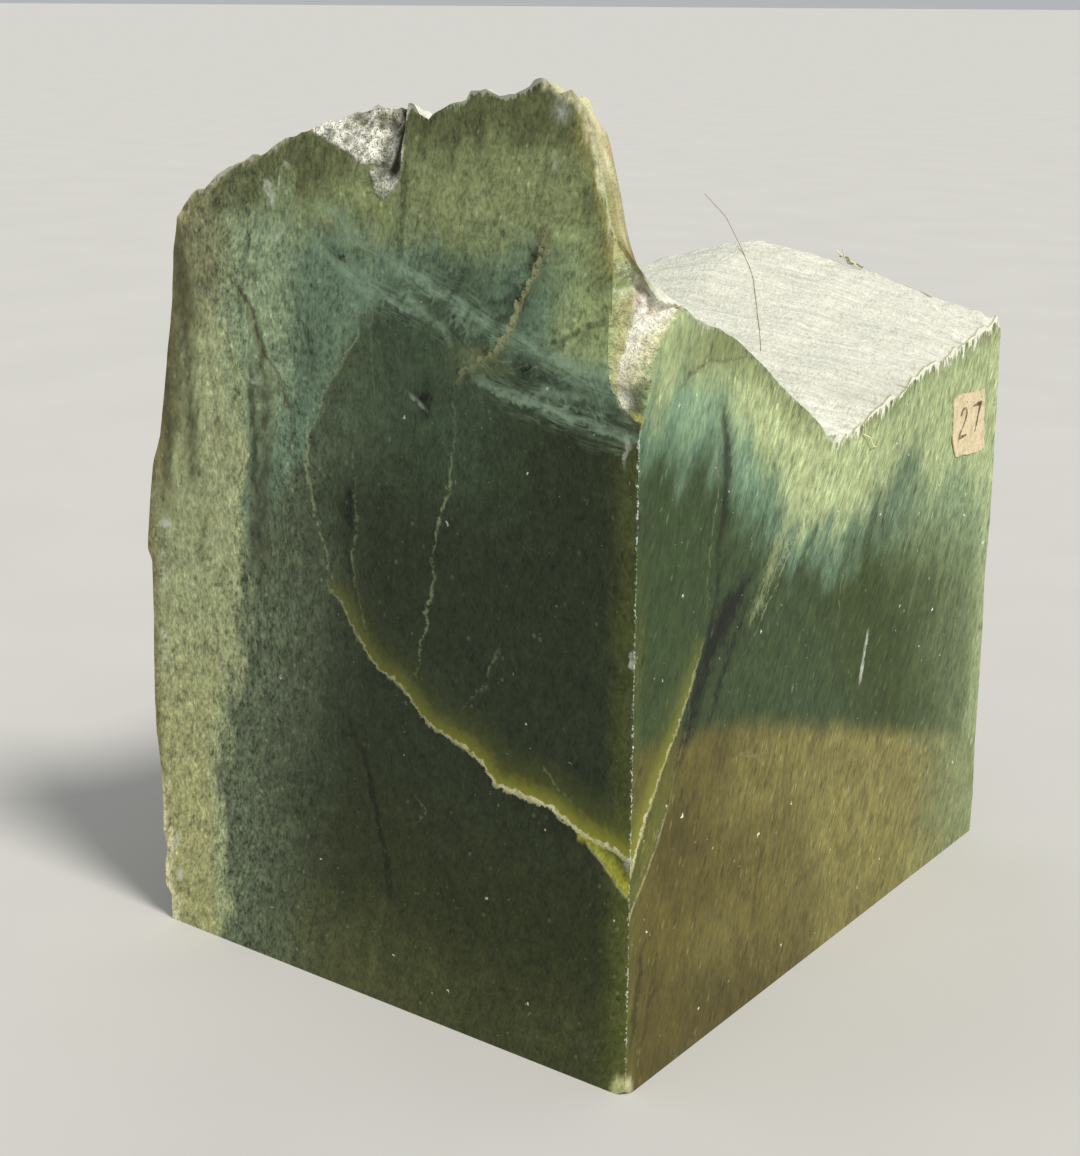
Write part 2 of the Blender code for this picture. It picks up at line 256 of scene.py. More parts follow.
def top_height(x, y, relief=1.0):
    """Height of the broken top: the higher of wedge and ledge, with a soft valley between them."""
    wedge = wedge_height(x, y, relief)
    ledge = ledge_height(x, y, relief)
    soft = STEP_BLEND * np.clip((RIGHT - x) / STEP_REACH, 0.1, 1)
    share = np.clip(0.5 + (wedge - ledge) / (2 * soft), 0, 1)
    return ledge + (wedge - ledge) * share + soft * share * (1 - share)


def left_skin(y, z, relief=1.0):
    """X of the natural left side: its outline at the front face, drawn in to the back, with lumps."""
    away = np.clip((y - FRONT) / EVEN_STRIP, 0, 1)
    near = np.clip((y - BACK) / CORNER_REACH + 1, 0, 1)
    lump = SKIN_LUMP * (1 + lumps(y, z)) * away
    rough = 0.3 * layered(y, z, 31, 5.5, 4) * (0.3 + away)
    return LEFT + curve(LEFT_SKIN, z) + CORNER_PULL * near ** 2 + lump + relief * rough


def back_skin(x, z, relief=1.0):
    """Y of the natural back: its outline at the right face, drawn in to the left, with lumps."""
    away = np.clip((RIGHT - x) / EVEN_STRIP, 0, 1)
    near = np.clip((LEFT - x) / CORNER_REACH + 1, 0, 1)
    lump = SKIN_LUMP * (1 + lumps(x + 40, z + 17)) * away
    rough = 0.3 * layered(x, z, 41, 5.5, 4) * (0.35 + 0.9 * away)
    return BACK - curve(BACK_SKIN, z) - CORNER_PULL * near ** 2 - lump - relief * rough


def front_face(x, z):
    """Y of the sawn front, which stands back in the spall under the crest."""
    deep = np.clip(z - curve(SPALL_EDGE, RIGHT - x), 0, 12) * SPALL_SLOPE
    rough = 1 + 0.35 * layered(x, z, 51, 2.2)
    return FRONT + deep * rough


def place(u, v, w):
    """Carry a unit cube's points onto the block: u to the right, v to the back, w up.

    The cube's natural edges are rounded first. Then each point's height is its share of the broken
    top above it, and its X and Y are its share of the way between the skins at that height. The
    three depend on each other, so they are settled in a few rounds. Last come the two chips.
    """
    across, behind, below = BLOCK_WIDTH * u, BLOCK_DEPTH * (1 - v), PEAK_HEIGHT * (1 - w)
    across, behind = round_corner(across, behind, CORNER_RADIUS)
    shoulder = SHOULDER_RADIUS * np.clip((BLOCK_DEPTH - behind) / SHOULDER_REACH, 0, 1)
    across, below = round_corner(across, below, shoulder)
    behind, below = round_corner(behind, below, BACK_LIP_RADIUS)
    u, v, w = across / BLOCK_WIDTH, 1 - behind / BLOCK_DEPTH, 1 - below / PEAK_HEIGHT
    x = LEFT + BLOCK_WIDTH * u
    y = FRONT + BLOCK_DEPTH * v
    for _ in range(SETTLING_ROUNDS):
        z = w * top_height(x, y)
        left = left_skin(y, z)
        front = front_face(x, z)
        back = back_skin(x, z)
        x = left + (RIGHT - left) * u
        y = front + (back - front) * v
    return chip_foot(*chip_head(x, y, z))


def chip_head(x, y, z):
    """Cut the arris back to a hollow between the chip's two edges at each height."""
    wide_a = np.maximum(curve(CHIP_ON_FRONT, z), 1e-6)
    wide_b = np.maximum(curve(CHIP_ON_RIGHT, z), 1e-6)
    a, b = RIGHT - x, y - FRONT
    lack = np.clip(1 - a / wide_a - b / wide_b, 0, 1)
    crumble = 1 + 0.4 * layered(b, z, 61, 1.6)
    hollow = CHIP_HOLLOW * 4 * lack * (1 - 0.5 * lack) * crumble * np.clip((z - 90) / 4, 0, 1)
    return x - lack * wide_a / 2 - 0.8 * hollow * (lack > 0), y + lack * wide_b / 2 + 0.3 * hollow, z


def chip_foot(x, y, z):
    """Cut the foot of the arris back to a slanting flat."""
    lack = np.clip(FOOT_CHIP - (RIGHT - x) - (y - FRONT) - z, 0, None) / 3
    return x - lack, y + lack, z + lack


LEFT_SIDE, RIGHT_SIDE, FRONT_SIDE, BACK_SIDE, BASE_SIDE, TOP_SIDE = range(6)


def cube_lattice(across, behind, up):
    """Points and quads of a cube's six sides, as whole-number grid lines, without doubled points.

    Each side is a grid of two of the three numbers, with the third held at its low or high end.
    Returns the lattice points, the quads and each quad's side.
    """
    counts = np.array([across, behind, up])
    points, quads, sides, start = [], [], [], 0
    for axis in range(3):
        first, second = [other for other in range(3) if other != axis]
        for end in (0, 1):
            i, j = np.meshgrid(np.arange(counts[first] + 1), np.arange(counts[second] + 1), indexing="ij")
            grid = np.zeros(i.shape + (3,), dtype=np.int64)
            grid[..., first] = i
            grid[..., second] = j
            grid[..., axis] = end * counts[axis]
            number = np.arange(i.size).reshape(i.shape) + start
            ring = [number[:-1, :-1], number[1:, :-1], number[1:, 1:], number[:-1, 1:]]
            if (axis == 1) == (end == 1):
                ring.reverse()
            quads.append(np.stack([corner.ravel() for corner in ring], axis=1))
            sides.append(np.full(len(quads[-1]), axis * 2 + end))
            points.append(grid.reshape(-1, 3))
            start += i.size
    points = np.concatenate(points)
    code = (points[:, 0] * (behind + 1) + points[:, 1]) * (up + 1) + points[:, 2]
    _, keep, where = np.unique(code, return_index=True, return_inverse=True)
    return points[keep], where.ravel()[np.concatenate(quads)], np.concatenate(sides)


# --- markings -------------------------------------------------------------------------------------
# On the front, a point is (distance left of the right face, height). On the right face it is
# (distance back from the front face, height). A third number is the strength there.
# The vein's strength falls away from the arris; its stain there is partly painted glow of light coming
# through the thin edge.
VEIN_FRONT = (
    (-6, 31, 1), (-0.6, 33.2, 1), (3.8, 34.4, 1), (7.6, 35.1, 1), (12.3, 37.2, 1), (17.1, 37.7, 0.9),
    (21.1, 38.1, 0.8), (23.3, 40.6, 0.7), (26.1, 42, 0.65), (32, 43.8, 0.5), (34.5, 46, 0.45),
    (37.1, 48.3, 0.42), (40.9, 49.8, 0.38), (43.1, 51.9, 0.33), (45.4, 55, 0.3), (47.4, 58.1, 0.25),
    (49.2, 59, 0.2), (50, 61, 0.1),
)
WEDGE_FRONT = ((-6, 21), (-0.6, 27.3), (1.4, 29), (3, 30.6), (4.8, 32.4), (7, 34))
VEIN_RIGHT = (
    (-6, 22), (-0.5, 31, 0.9), (0.9, 32.9, 0.8), (3.2, 37.7, 0.7), (6.4, 42.7, 0.6), (9.6, 47, 0.5),
    (12.9, 52.1, 0.4), (15, 56.2, 0.2), (16.5, 59, 0.05),
)
WEDGE_RIGHT = (
    (-6, 16), (-0.5, 24.6), (1.1, 26.9), (4.1, 30.5), (6.7, 34.4, 0.8), (8.9, 38.5, 0.6),
    (9.6, 41, 0.5), (11.5, 45, 0.3), (13.5, 50, 0.1),
)
FISSURE = (
    (11, 121.5, 0.1), (11.7, 118.9, 0.2), (12.3, 114.3, 0.3), (13.4, 111.4, 0.35), (13.7, 108.4, 0.6),
    (15.1, 104.3, 1), (17.3, 101.2, 1), (18.8, 97.4, 1), (21.1, 94.5, 0.8), (24, 93, 0.6),
    (26.4, 91.4, 0.4),
    (27, 88.6, 0.1),
)
CRACKS_FRONT = (
    ((65.3, 99.6, 0.6), (63.4, 97.9), (61.9, 95.6), (60.6, 91.6), (58.4, 88.3, 0.9), (56.3, 85.6, 0.8),
     (55.5, 83, 0.7), (55.2, 78.9, 0.5), (54.2, 76.5, 0.2)),
    ((71.6, 53, 0.4), (71.2, 48, 0.8), (71.4, 44.5, 0.2)),
)
CRACKS_RIGHT = (
    ((7, 90.9, 0.1), (9, 91.6, 0.4), (10.7, 92.4, 0.75), (13.5, 93.2, 0.6), (17.5, 93.5, 0.5),
     (25.9, 92.5, 0.3), (31, 91.3, 0.25), (34, 89.5, 0.1)),
)
PALE_FRONT = (
    ((26.8, 89, 0.3), (27.4, 84, 0.3), (28.2, 78.8, 0.8), (29.9, 72.1, 0.9), (30.9, 67, 0.4),
     (31.8, 61.1, 0.8),
     (33.5, 53, 0.6), (35, 48, 0.1)),
    ((42.2, 97, 0.1), (43.4, 94.2, 0.7), (45.5, 91.4, 0.7), (48.2, 87.2, 0.6), (50.5, 83.6, 0.8),
     (53, 77.9, 1),
     (51.9, 72, 0.8), (50.4, 66.5, 0.8), (49, 61, 0.6), (48.3, 59.3, 0.3)),
    ((20.7, 57.3, 0.3), (21.6, 54.4, 0.5), (22.4, 50.8, 0.4), (25.2, 48.8, 0.4), (26.5, 46.5, 0.3)),
    ((14.6, 42.6, 0.3), (13.5, 42.1, 0.7), (10.8, 40, 0.5), (8.9, 39.2, 0.6), (5, 36.6, 0.4)),
    ((40.8, 104.2, 0.5), (40.4, 100, 0.5), (40.7, 94, 0.3), (40.6, 86, 0.15)),
    ((44.6, 80.4, 0.2), (44, 72.5, 0.35), (45.1, 64.1, 0.5), (43.8, 58.8, 0.3), (42.2, 53.5, 0.2)),
    ((34.6, 34, 0.1), (32.4, 31, 0.5), (35.2, 28.4, 0.2)),
    ((78, 92, 0.5), (74, 86.8, 0.3)),
    ((73, 107.4, 0.4), (68.6, 106.2, 0.9), (64, 107.4, 0.8), (58, 108.4, 0.4)),
    ((72.6, 104.6, 0.5), (69, 104.2, 0.9), (65.4, 106, 0.8), (62, 108.2, 0.4)),
    ((71.4, 108.6, 0.4), (70.2, 105.4, 0.9), (68, 102.4, 0.8), (64.4, 101.6, 0.3)),
    ((66.4, 109, 0.4), (67, 106, 0.8), (66, 103, 0.5)),
    ((74, 100, 0.3), (72, 103.4, 0.8), (69.4, 109, 0.4)),
    ((71.6, 100.4, 0.3), (72.2, 97.3, 0.6), (71.4, 94.4, 0.3)),
)
PALE_RIGHT = (
    ((54, 36, 0.3), (53.6, 34.1, 0.6), (52.9, 28, 0.5), (52.2, 21.9, 0.5), (50.6, 16.7, 0.3),
     (49.8, 11.2, 0.1)),
    ((57, 64, 0.2), (55, 62, 0.5), (53, 57.6, 0.6), (52.1, 54.2, 0.5), (52, 49.3, 0.2)),
    ((22.6, 38.9, 0.2), (26, 39.4, 0.5), (30.9, 37.1, 0.4), (36.1, 33.5, 0.2)),
    ((8.4, 37.7, 0.3), (6, 34.9, 0.7), (3.5, 32.1, 0.6), (0.6, 28.9, 0.4)),
    ((49.8, 72, 0.3), (47, 70.2, 0.5), (41, 67.7, 0.6), (37.2, 64.8, 0.9), (33.5, 60.9, 1.0),
     (29.9, 57, 0.7),
     (26.3, 53.8, 0.3), (22, 50, 0.1)),
    ((44, 71.6, 0.2), (40.4, 69.2, 0.6), (36.2, 66, 0.8), (32.6, 62.2, 0.6), (29.6, 58.8, 0.2)),
    ((16.9, 83, 0.2), (17.8, 78, 0.5), (17.3, 72.9, 0.5), (16.4, 66, 0.3), (16.1, 60, 0.2)),
)
DARK_FRONT = (
    ((62, 107.6, 0.2), (62.6, 103, 0.6), (63.8, 96, 0.5), (64.1, 91, 0.2)),
    ((59.9, 107, 0.1), (60.6, 103, 0.5), (61.8, 97, 0.3)),
    ((62.4, 92, 0.2), (62.2, 86, 0.7), (62.5, 78, 0.8), (62.3, 70, 0.6), (62.6, 61, 0.2)),
    ((46.6, 46, 0.2), (45.8, 40.6, 0.6), (43.5, 36, 0.7), (41.4, 27.7, 0.8), (39.7, 20.7, 0.7),
     (38.9, 15.7, 0.3)),
    ((34, 118.4, 0.2), (34.7, 113.6, 0.7), (35.9, 106.4, 0.7), (36.6, 103, 0.2)),
    ((14.6, 106, 0.6), (18.6, 103.8, 0.5), (22.4, 102.4, 0.1)),
    ((16.4, 102.6, 0.7), (20.6, 100.4, 0.5), (25.4, 99.4, 0.1)),
    ((17.6, 99.6, 0.7), (22, 96.8, 0.4), (25.4, 94.6, 0.1)),
    ((0.4, 100.6, 0.2), (6, 99.6, 0.7), (10.4, 97.3, 0.6), (14.6, 94.2, 0.2)),
    ((53.6, 101.6, 0.1), (53.4, 96.2, 0.5), (51.3, 90.6, 0.5), (50, 88.2, 0.1)),
    ((37.4, 98.6, 0.6), (34.8, 97.4, 0.4), (31, 96.9, 0.1)),
    ((46.4, 66.4, 0.3), (45.6, 62.4, 0.6), (43.6, 59.6, 0.3)),
)
DARK_RIGHT = (
    ((18, 88.6, 0.1), (18.4, 86.5, 0.7), (19.5, 83.1, 1), (20.4, 77.9, 1), (19.2, 72.9, 0.9),
     (18.6, 67.8, 0.7),
     (18.2, 62.6, 0.7), (16.6, 57.8, 0.7), (14.1, 51.7, 0.7), (12.2, 46.2, 0.5), (9.6, 40.4, 0.25),
     (6.2, 33.6, 0.15),
     (3, 27.6, 0.1)),
    ((36.6, 89, 0.6), (38.4, 83.6, 0.6), (38.8, 80, 0.1)),
    ((29.4, 91, 0.3), (30.6, 86.4, 0.4), (31.4, 84, 0.1)),
    ((46.9, 69.4, 0.2), (44, 66, 0.6), (39.6, 61.8, 0.4), (36.4, 58, 0.1)),
    ((66.8, 72, 0.1), (65.4, 66, 0.6), (64.7, 61.4, 0.6), (64.2, 58, 0.1)),
    ((3.6, 22, 0.1), (2.8, 17, 0.7), (1.6, 10, 0.8), (0.8, 5, 0.3)),
    ((6.4, 17, 0.1), (5.2, 12, 0.6), (3.8, 6, 0.3)),
    ((34, 26, 0.1), (32.4, 21, 0.6), (31.4, 15, 0.5), (31, 10, 0.1)),
)
# Two soft bands of pale wisps across the upper front, and the threads that run along them
STREAKS = (
    ((50.5, 110, 0.3), (43.4, 106.2, 0.7), (37.2, 103.6, 0.8), (31, 101, 1), (25, 98.8, 1),
     (19.5, 96.6, 0.9),
     (14, 94.8, 1), (8, 93, 1), (0, 91.5, 1)),
    ((53, 106.6, 0.5), (47.6, 104, 0.8), (42.3, 101, 1), (36.7, 99.4, 1), (31, 97.6, 0.5), (27, 95.2, 0.35),
     (22, 91, 0.5), (16, 89.6, 0.9), (8, 88, 1), (0, 87, 0.9)),
)
WISPS = (
    ((39.9, 105.3, 0.3), (35.3, 103.2, 1), (32.8, 102.2, 1), (30.2, 101.2, 1), (27.7, 100.7, 0.9),
     (25.2, 99.4, 1), (23.4, 98.4, 0.9), (21.6, 97.9, 0.6), (19.1, 97.6, 0.3)),
    ((17.9, 97.3, 0.4), (15.2, 95.6, 0.8), (12, 94.8, 0.9), (8.5, 93.8, 1), (4, 93, 0.8), (0, 92, 0.5)),
    ((28.4, 100.1, 0.4), (26.5, 97.9, 0.8), (24.6, 96.3, 0.6), (22.8, 96.8, 0.2)),
    ((50.7, 105.7, 0.3), (46.6, 103.7, 0.7), (44.3, 101.7, 0.9), (42.3, 100.3, 1), (38.7, 99.7, 1),
     (35.4, 98.5, 0.9), (32.2, 97.5, 0.9), (29, 96.9, 0.7), (27.8, 95.3, 0.5), (26.8, 93.9, 0.3)),
    ((36.7, 101.1, 0.5), (34.8, 100, 0.9), (32.8, 98.7, 0.9), (30.9, 97.7, 0.4)),
    ((25, 90.9, 0.6), (21.9, 90.3, 0.9), (18.8, 89.6, 1), (15.8, 89, 1), (11.9, 88.3, 1), (8.4, 87.8, 1),
     (3, 87, 0.9), (-1, 86.6, 0.6)),
    ((15.5, 90.5, 0.4), (12.2, 90.7, 0.8), (10.5, 90.2, 0.8), (8.5, 90.7, 0.5), (4, 90, 0.6)),
    ((51, 110.4, 0.4), (46.1, 109.5, 0.9), (44.5, 107.4, 0.8), (45.2, 105.6, 0.5), (48.3, 105.9, 0.3)),
    ((39.8, 100.5, 0.5), (40.4, 99, 0.6), (41.1, 96.9, 0.4), (41.3, 93.8, 0.2)),
)
# Dark, pale and brown patches: lines whose strength is half their width in millimetres
INK_FRONT = (
    ((17.6, 94.4, 0.3), (16.1, 92.9, 1.1), (14.4, 91.9, 0.3)),
    ((37.4, 99.9, 0.3), (36.2, 99.4, 0.5), (35, 98.8, 0.2)),
    ((27.6, 98.2, 0.2), (26.6, 97, 0.5), (25.8, 96.2, 0.2)),
    ((47, 104.8, 0.3), (46, 104.2, 0.6), (45, 103, 0.3)),
    ((32.4, 89.6, 0.4), (32.2, 87.4, 1.2), (32, 85.2, 0.7)),
    ((45, 74, 0.3), (45.4, 70.6, 0.9), (45, 67.6, 0.4)),
    ((15.4, 103.8, 0.3), (17.1, 101.2, 0.7), (18.6, 98.6, 0.2)),
    ((14.2, 108.4, 0.2), (14.9, 105.8, 0.5), (15.4, 104, 0.3)),
)
INK_RIGHT = (
    ((28, 64.2, 0.2), (24.9, 62.6, 1.2), (22.4, 61, 2.1), (20, 58.8, 2.3), (17.9, 56.6, 1.8),
     (16.3, 53.7, 1.3),
     (15, 50.8, 1.1), (12.6, 46, 0.7), (10.4, 42, 0.3)),
    ((26.4, 60.4, 0.2), (23.4, 56.6, 0.6), (20.4, 51.4, 0.6), (17.6, 46, 0.3)),
)
RAY_FRONT = (((58.8, 113, 0.4), (57.6, 110.6, 1), (57, 108.8, 0.5)),
             ((56, 115, 0.4), (54.6, 114.2, 0.6), (53.6, 113.6, 0.2)))
RAY_RIGHT = (
    ((47.6, 78, 0.2), (43.8, 76, 0.4), (40.2, 73.4, 0.7), (38, 70.6, 0.8), (35.2, 67.8, 0.9),
     (33.4, 65.2, 0.9),
     (31.6, 62.6, 0.7), (30, 60.2, 0.4), (27.6, 57.6, 0.1)),
)
BROWN_FRONT = (
    ((61.4, 95, 0.2), (60.4, 89.3, 0.5), (60, 85.6, 0.8), (60.3, 78.4, 0.8), (60.8, 72.4, 0.7),
     (61.5, 65, 0.4),
     (62, 58, 0.1)),
    ((62.8, 88, 0.1), (62.2, 82, 0.4), (62.4, 74, 0.5), (63, 66, 0.3), (63.2, 60, 0.1)),
    ((75.4, 106, 0.4), (74.8, 98, 0.8), (74.6, 88, 0.6), (74.8, 78, 0.4), (75, 70, 0.1)),
    ((78.4, 92, 0.3), (79, 84, 0.7), (79.4, 74, 0.5), (79.8, 64, 0.2)),
)
SCUFFS_FRONT = (
    ((82.6, 62.8, 1.3), (80.2, 63.3, 1.3), (78.9, 63.8)), ((82.8, 58.4, 1.2), (80.6, 59)),
    ((82.9, 56, 1.2), (80.4, 56.8)), ((83, 54.2, 1.3), (80.4, 55.1)), ((83.4, 46, 1.3), (81, 46.8)),
    ((83.3, 44.2, 1.3), (80.8, 45)), ((83.2, 42.4, 1.3), (81, 43.2)),
    ((58.6, 113.2, 1.6), (57.7, 111.2, 2.2), (57.4, 109.4, 1.4)), ((55.8, 115.6, 1.5), (53.8, 114.2)),
    ((82.2, 15.6, 1.5), (81.6, 14.2, 1.5), (81.8, 12)), ((82, 9.6, 1.5), (81.4, 8.6, 1.5), (81.7, 6.4)),
    ((82.4, 20.6, 1.2), (81.8, 18.8)),
    ((58.6, 105.6, 0.4), (56.8, 105.4, 0.8), (55.4, 107.2, 0.4)),
    ((63.2, 86.4, 0.4), (61.8, 85.8, 0.8), (61.2, 87, 0.6), (60.4, 86.6, 0.4)),
    ((1.9, 87.4, 0.3), (1.4, 85.6, 0.6), (2.2, 83.8, 0.6), (1.8, 82.2, 0.3)),
    ((-0.4, 61.4, 0.5), (0.3, 60.2, 0.9), (0.2, 58.6, 0.8), (-0.4, 57.4, 0.4)),
    ((-0.4, 34, 0.5), (0.5, 33.2, 0.7), (0.4, 31.8, 0.5), (-0.4, 31, 0.3)),
    ((12.6, 119.4, 0.3), (12.2, 117.4, 0.6), (12.9, 115.6, 0.3)),
    ((35.4, 88.2, 0.2), (32.6, 86.4, 0.5), (31.6, 85.8, 0.2)),
)
SCUFFS_RIGHT = (
    ((62, 47.8, 0.7), (61.3, 45.1, 0.9), (60.6, 42, 0.9), (59.9, 38.6, 0.6)),
    ((39.9, 45.4, 0.8), (39.5, 43.6)),
    ((58.5, 24), (58.2, 22.2)), ((-0.4, 34, 0.5), (0.4, 33.2, 0.7), (-0.4, 31.8, 0.3)),
    ((-0.4, 60.6, 0.5), (0.3, 59.6, 0.8), (-0.4, 58.4, 0.4)),
)
RIND_EDGE = (
    (0, 71.4), (10.1, 71.6), (22.9, 71.6), (31, 71.4), (38.7, 69.8), (46, 67.4), (51.3, 66.6), (66.2, 65.8),
    (74, 64.8), (83.3, 64.4), (92, 66.5), (97, 71), (104, 74), (126, 76),
)
MOSS_EDGE = ((70, 66), (78, 60), (84, 56.5), (90, 55), (96, 55.5), (102, 55), (108, 55), (126, 54))
CORE_TOP = (
    (0, 90), (9, 91), (15, 93), (21, 95), (27, 99), (33, 100), (39, 99.5), (43, 95.2), (45.5, 91.6),
    (48.2, 87.4), (50.5, 83.6), (53, 77.5), (57, 74), (63, 66), (84, 45),
)
# Lower edge of the painted glow under the ledge on the right face: pairs of distance back and height.
PALE_FOOT = (
    (0, 88.5), (5, 88), (10, 90), (17, 86.5), (24, 81), (31, 75), (36, 70.5), (41, 67.2), (46, 66),
    (52, 66.5),
    (59, 67.2), (66, 68), (73, 68), (80, 65), (87, 62.8), (94, 61), (105, 53),
)
# Upper edge of the painted reflection at the foot of the right face: pairs of distance back and height.
LOW_LINE = (
    (0, 47.3), (7, 47.1), (13, 46.3), (19, 45.1), (26, 43.4), (38, 40), (51, 35.5), (69, 29.3), (86, 23.6),
    (105, 17),
)


def line_field(p, q, line, fade):
    """One line at each place: signed distance to it, distance along it, and its strength there.

    The distance is that to the nearest point of the line, positive on the left when going along
    it. The strength is read between the line's points, and falls to zero over the last stretch at
    each end.
    """
    knots = np.array([(tuple(point) + (1.0,))[:3] for point in line])
    steps = np.hypot(*np.diff(knots[:, :2], axis=0).T)
    start = np.concatenate([[0], np.cumsum(steps)])
    gap, along, life = np.full(p.shape, 1e3), np.zeros(p.shape), np.zeros(p.shape)
    for i, step in enumerate(steps):
        way = (knots[i + 1, :2] - knots[i, :2]) / step
        off_p, off_q = p - knots[i, 0], q - knots[i, 1]
        run = np.clip(off_p * way[0] + off_q * way[1], 0, step)
        reach = np.hypot(off_p - run * way[0], off_q - run * way[1])
        nearer = reach < np.abs(gap)
        side = np.where(way[0] * off_q - way[1] * off_p >= 0, 1.0, -1.0)
        gap = np.where(nearer, reach * side, gap)
        along = np.where(nearer, start[i] + run, along)
        life = np.where(nearer, knots[i, 2] + (knots[i + 1, 2] - knots[i, 2]) * run / step, life)
    ends = smooth(0, fade, along) * smooth(0, fade, start[-1] - along)
    return np.stack([np.clip(gap, -40, 40), along, life * ends])


def near_lines(p, q, lines, fade=1.5):
    """The nearest of several lines at each place, as line_field gives it.

    Half way between two lines the strength is taken down to zero, because the nearest line, and
    with it the sign of the distance, changes there.
    """
    fields = np.stack([line_field(p, q, line, fade) for line in lines])
    gaps = np.abs(fields[:, 0])
    first = np.argmin(gaps, axis=0)
    best = np.take_along_axis(fields, first[None, None], axis=0)[0]
    if len(lines) > 1:
        apart = np.partition(gaps, 1, axis=0)[1] - np.abs(best[0])
        best[2] = best[2] * np.where(np.abs(best[0]) > 0.8, smooth(0, 1.6, apart), 1)
    return best.T


def mixed(under, over, share):
    """One colour laid over another, each place with its own share."""
    share = np.clip(share, 0, 1)[:, None]
    return under * (1 - share) + over * share


def spot(p, q, centre, reach):
    """Soft round spot: 1 at its centre and falling to 0 like a bell curve with these reaches."""
    return np.exp(-((p - centre[0]) / reach[0]) ** 2 - ((q - centre[1]) / reach[1]) ** 2)


# --- colours --------------------------------------------------------------------------------------
LIGHT_FRONT = 0.68
LIGHT_RIGHT = 1.13
LIGHT_TOP = 1.2


def seen(red, green, blue, light=LIGHT_FRONT):
    """Surface colour that looks like this screen colour where this much light falls on it."""
    shown = np.array([red, green, blue]) / 255
    linear = np.where(shown <= 0.04045, shown / 12.92, ((shown + 0.055) / 1.055) ** 2.4)
    return tuple(float(value) for value in np.clip(linear / light, 0, 0.95))


def colour_property(name, description, value):
    """A colour that can be picked in the panel."""
    return FloatVectorProperty(
        name=name, description=description, subtype="COLOR", size=3, min=0, max=1, default=value)


class JadeColours(bpy.types.PropertyGroup):
    """Colours of the stone, from its dark core to its pale broken top."""

    core: colour_property("Core", "Dark heart of the front face", seen(39, 47, 30))
    core_up: colour_property("Upper core", "Dark green under the pale band", seen(57, 71, 51))
    core_low: colour_property("Low core", "Front face near the base", seen(43, 49, 26))
    foot: colour_property("Foot", "Lowest strip of the front face", seen(71, 75, 43))
    blue_green: colour_property("Blue green", "Cloudy zone beside the rind", seen(83, 93, 71))
    teal: colour_property("Teal", "Upper middle of the front face", seen(92, 112, 90))
    cloud: colour_property("Cloud", "Pale turquoise clouds and streaks", seen(128, 150, 126))
    fresh: colour_property("Fresh", "Lighter green beside the chip", seen(130, 143, 99))
    olive: colour_property("Olive", "Front face under the crest", seen(118, 127, 87))
    deep_olive: colour_property("Deep olive", "Crest line and the stained left shoulder", seen(86, 91, 60))
    khaki: colour_property("Khaki", "Stained upper left", seen(112, 114, 84))
    moss: colour_property("Moss", "Upper left of the front face", seen(127, 143, 111))
    rind: colour_property("Rind", "Pale band down the left edge", seen(144, 151, 112))
    rind_low: colour_property("Low rind", "The band near the base", seen(149, 150, 104))
    tan: colour_property("Tan", "Weathered patches", seen(143, 134, 92))
    glow: colour_property("Glow", "Light coming through thin edges", seen(84, 90, 40))
    amber: colour_property("Amber", "Light coming through the thin flank", seen(138, 134, 78))
    # Yellow is partly stain and partly painted glow of light coming through the stone beside the vein.
    yellow: colour_property("Yellow", "Stain right beside the vein", seen(139, 139, 48))
    vein_olive: colour_property("Vein olive", "Stain further from the vein", seen(84, 88, 36))
    leaf: colour_property("Leaf", "Middle of the right face", seen(56, 72, 22, LIGHT_RIGHT))
    shade: colour_property("Shade", "Dark green of the right face", seen(60, 78, 43, LIGHT_RIGHT))
    # Pale is mostly painted glow of light coming in through the ledge; it also colours the pale rays and
    # the strip at the back edge.
    pale: colour_property("Pale", "Pale green under the ledge", seen(190, 204, 148, LIGHT_RIGHT))
    turquoise: colour_property("Turquoise", "Blue tints on the right face",
                               seen(126, 158, 128, LIGHT_RIGHT))
    sage: colour_property("Sage", "Right edge of the right face", seen(138, 157, 112, LIGHT_RIGHT))
    broken_olive: colour_property("Broken olive", "Strip under the broken edge",
                                  seen(128, 138, 90, LIGHT_RIGHT))
    # Brown olive and pale brown are a painted reflection of a brown surface in the polished foot of the
    # right face.
    brown_olive: colour_property("Brown olive", "Low part of the right face", seen(98, 89, 40, LIGHT_RIGHT))
    brown_pale: colour_property("Pale brown", "Low right face further back",
                                seen(133, 126, 68, LIGHT_RIGHT))
    ink: colour_property("Ink", "Nearly black patches", seen(12, 17, 12, LIGHT_RIGHT))
    cream: colour_property("Cream", "Vein and broken edges", seen(238, 234, 186, 0.9))
    frost: colour_property("Frost", "Scuffs and sparkles", seen(205, 212, 196, 0.9))
    ridge: colour_property("Ridge", "Raised edge of the fissure", seen(140, 143, 104))
    rind_up: colour_property("Upper rind", "The band near the top, stained", seen(95, 94, 63))
    rust: colour_property("Rust", "Iron stains", seen(150, 100, 56, 0.8))
    # Crack also colours painted shadow: the strip by the spall's wall and the blotches beside the fissure's
    # ridge.
    crack: colour_property("Crack", "Dark fissures", seen(50, 40, 28))
    chalk: colour_property("Chalk", "Broken ledge", seen(252, 252, 236, LIGHT_TOP))
    slate: colour_property("Slate", "Grey streaks on the ledge", seen(222, 226, 208, LIGHT_TOP))
    sugar: colour_property("Sugar", "Crumbly pale break", seen(248, 246, 232, 0.98))
    skin: colour_property("Skin", "Weathered outside of the boulder", seen(146, 142, 104, 0.8))
    paper: colour_property("Paper", "Old label paper", seen(250, 234, 196, LIGHT_RIGHT))


def palette():
    """The colours as arrays, by name."""
    colours = bpy.context.scene.jade_colours
    return {name: np.array(getattr(colours, name)) for name in JadeColours.__annotations__}


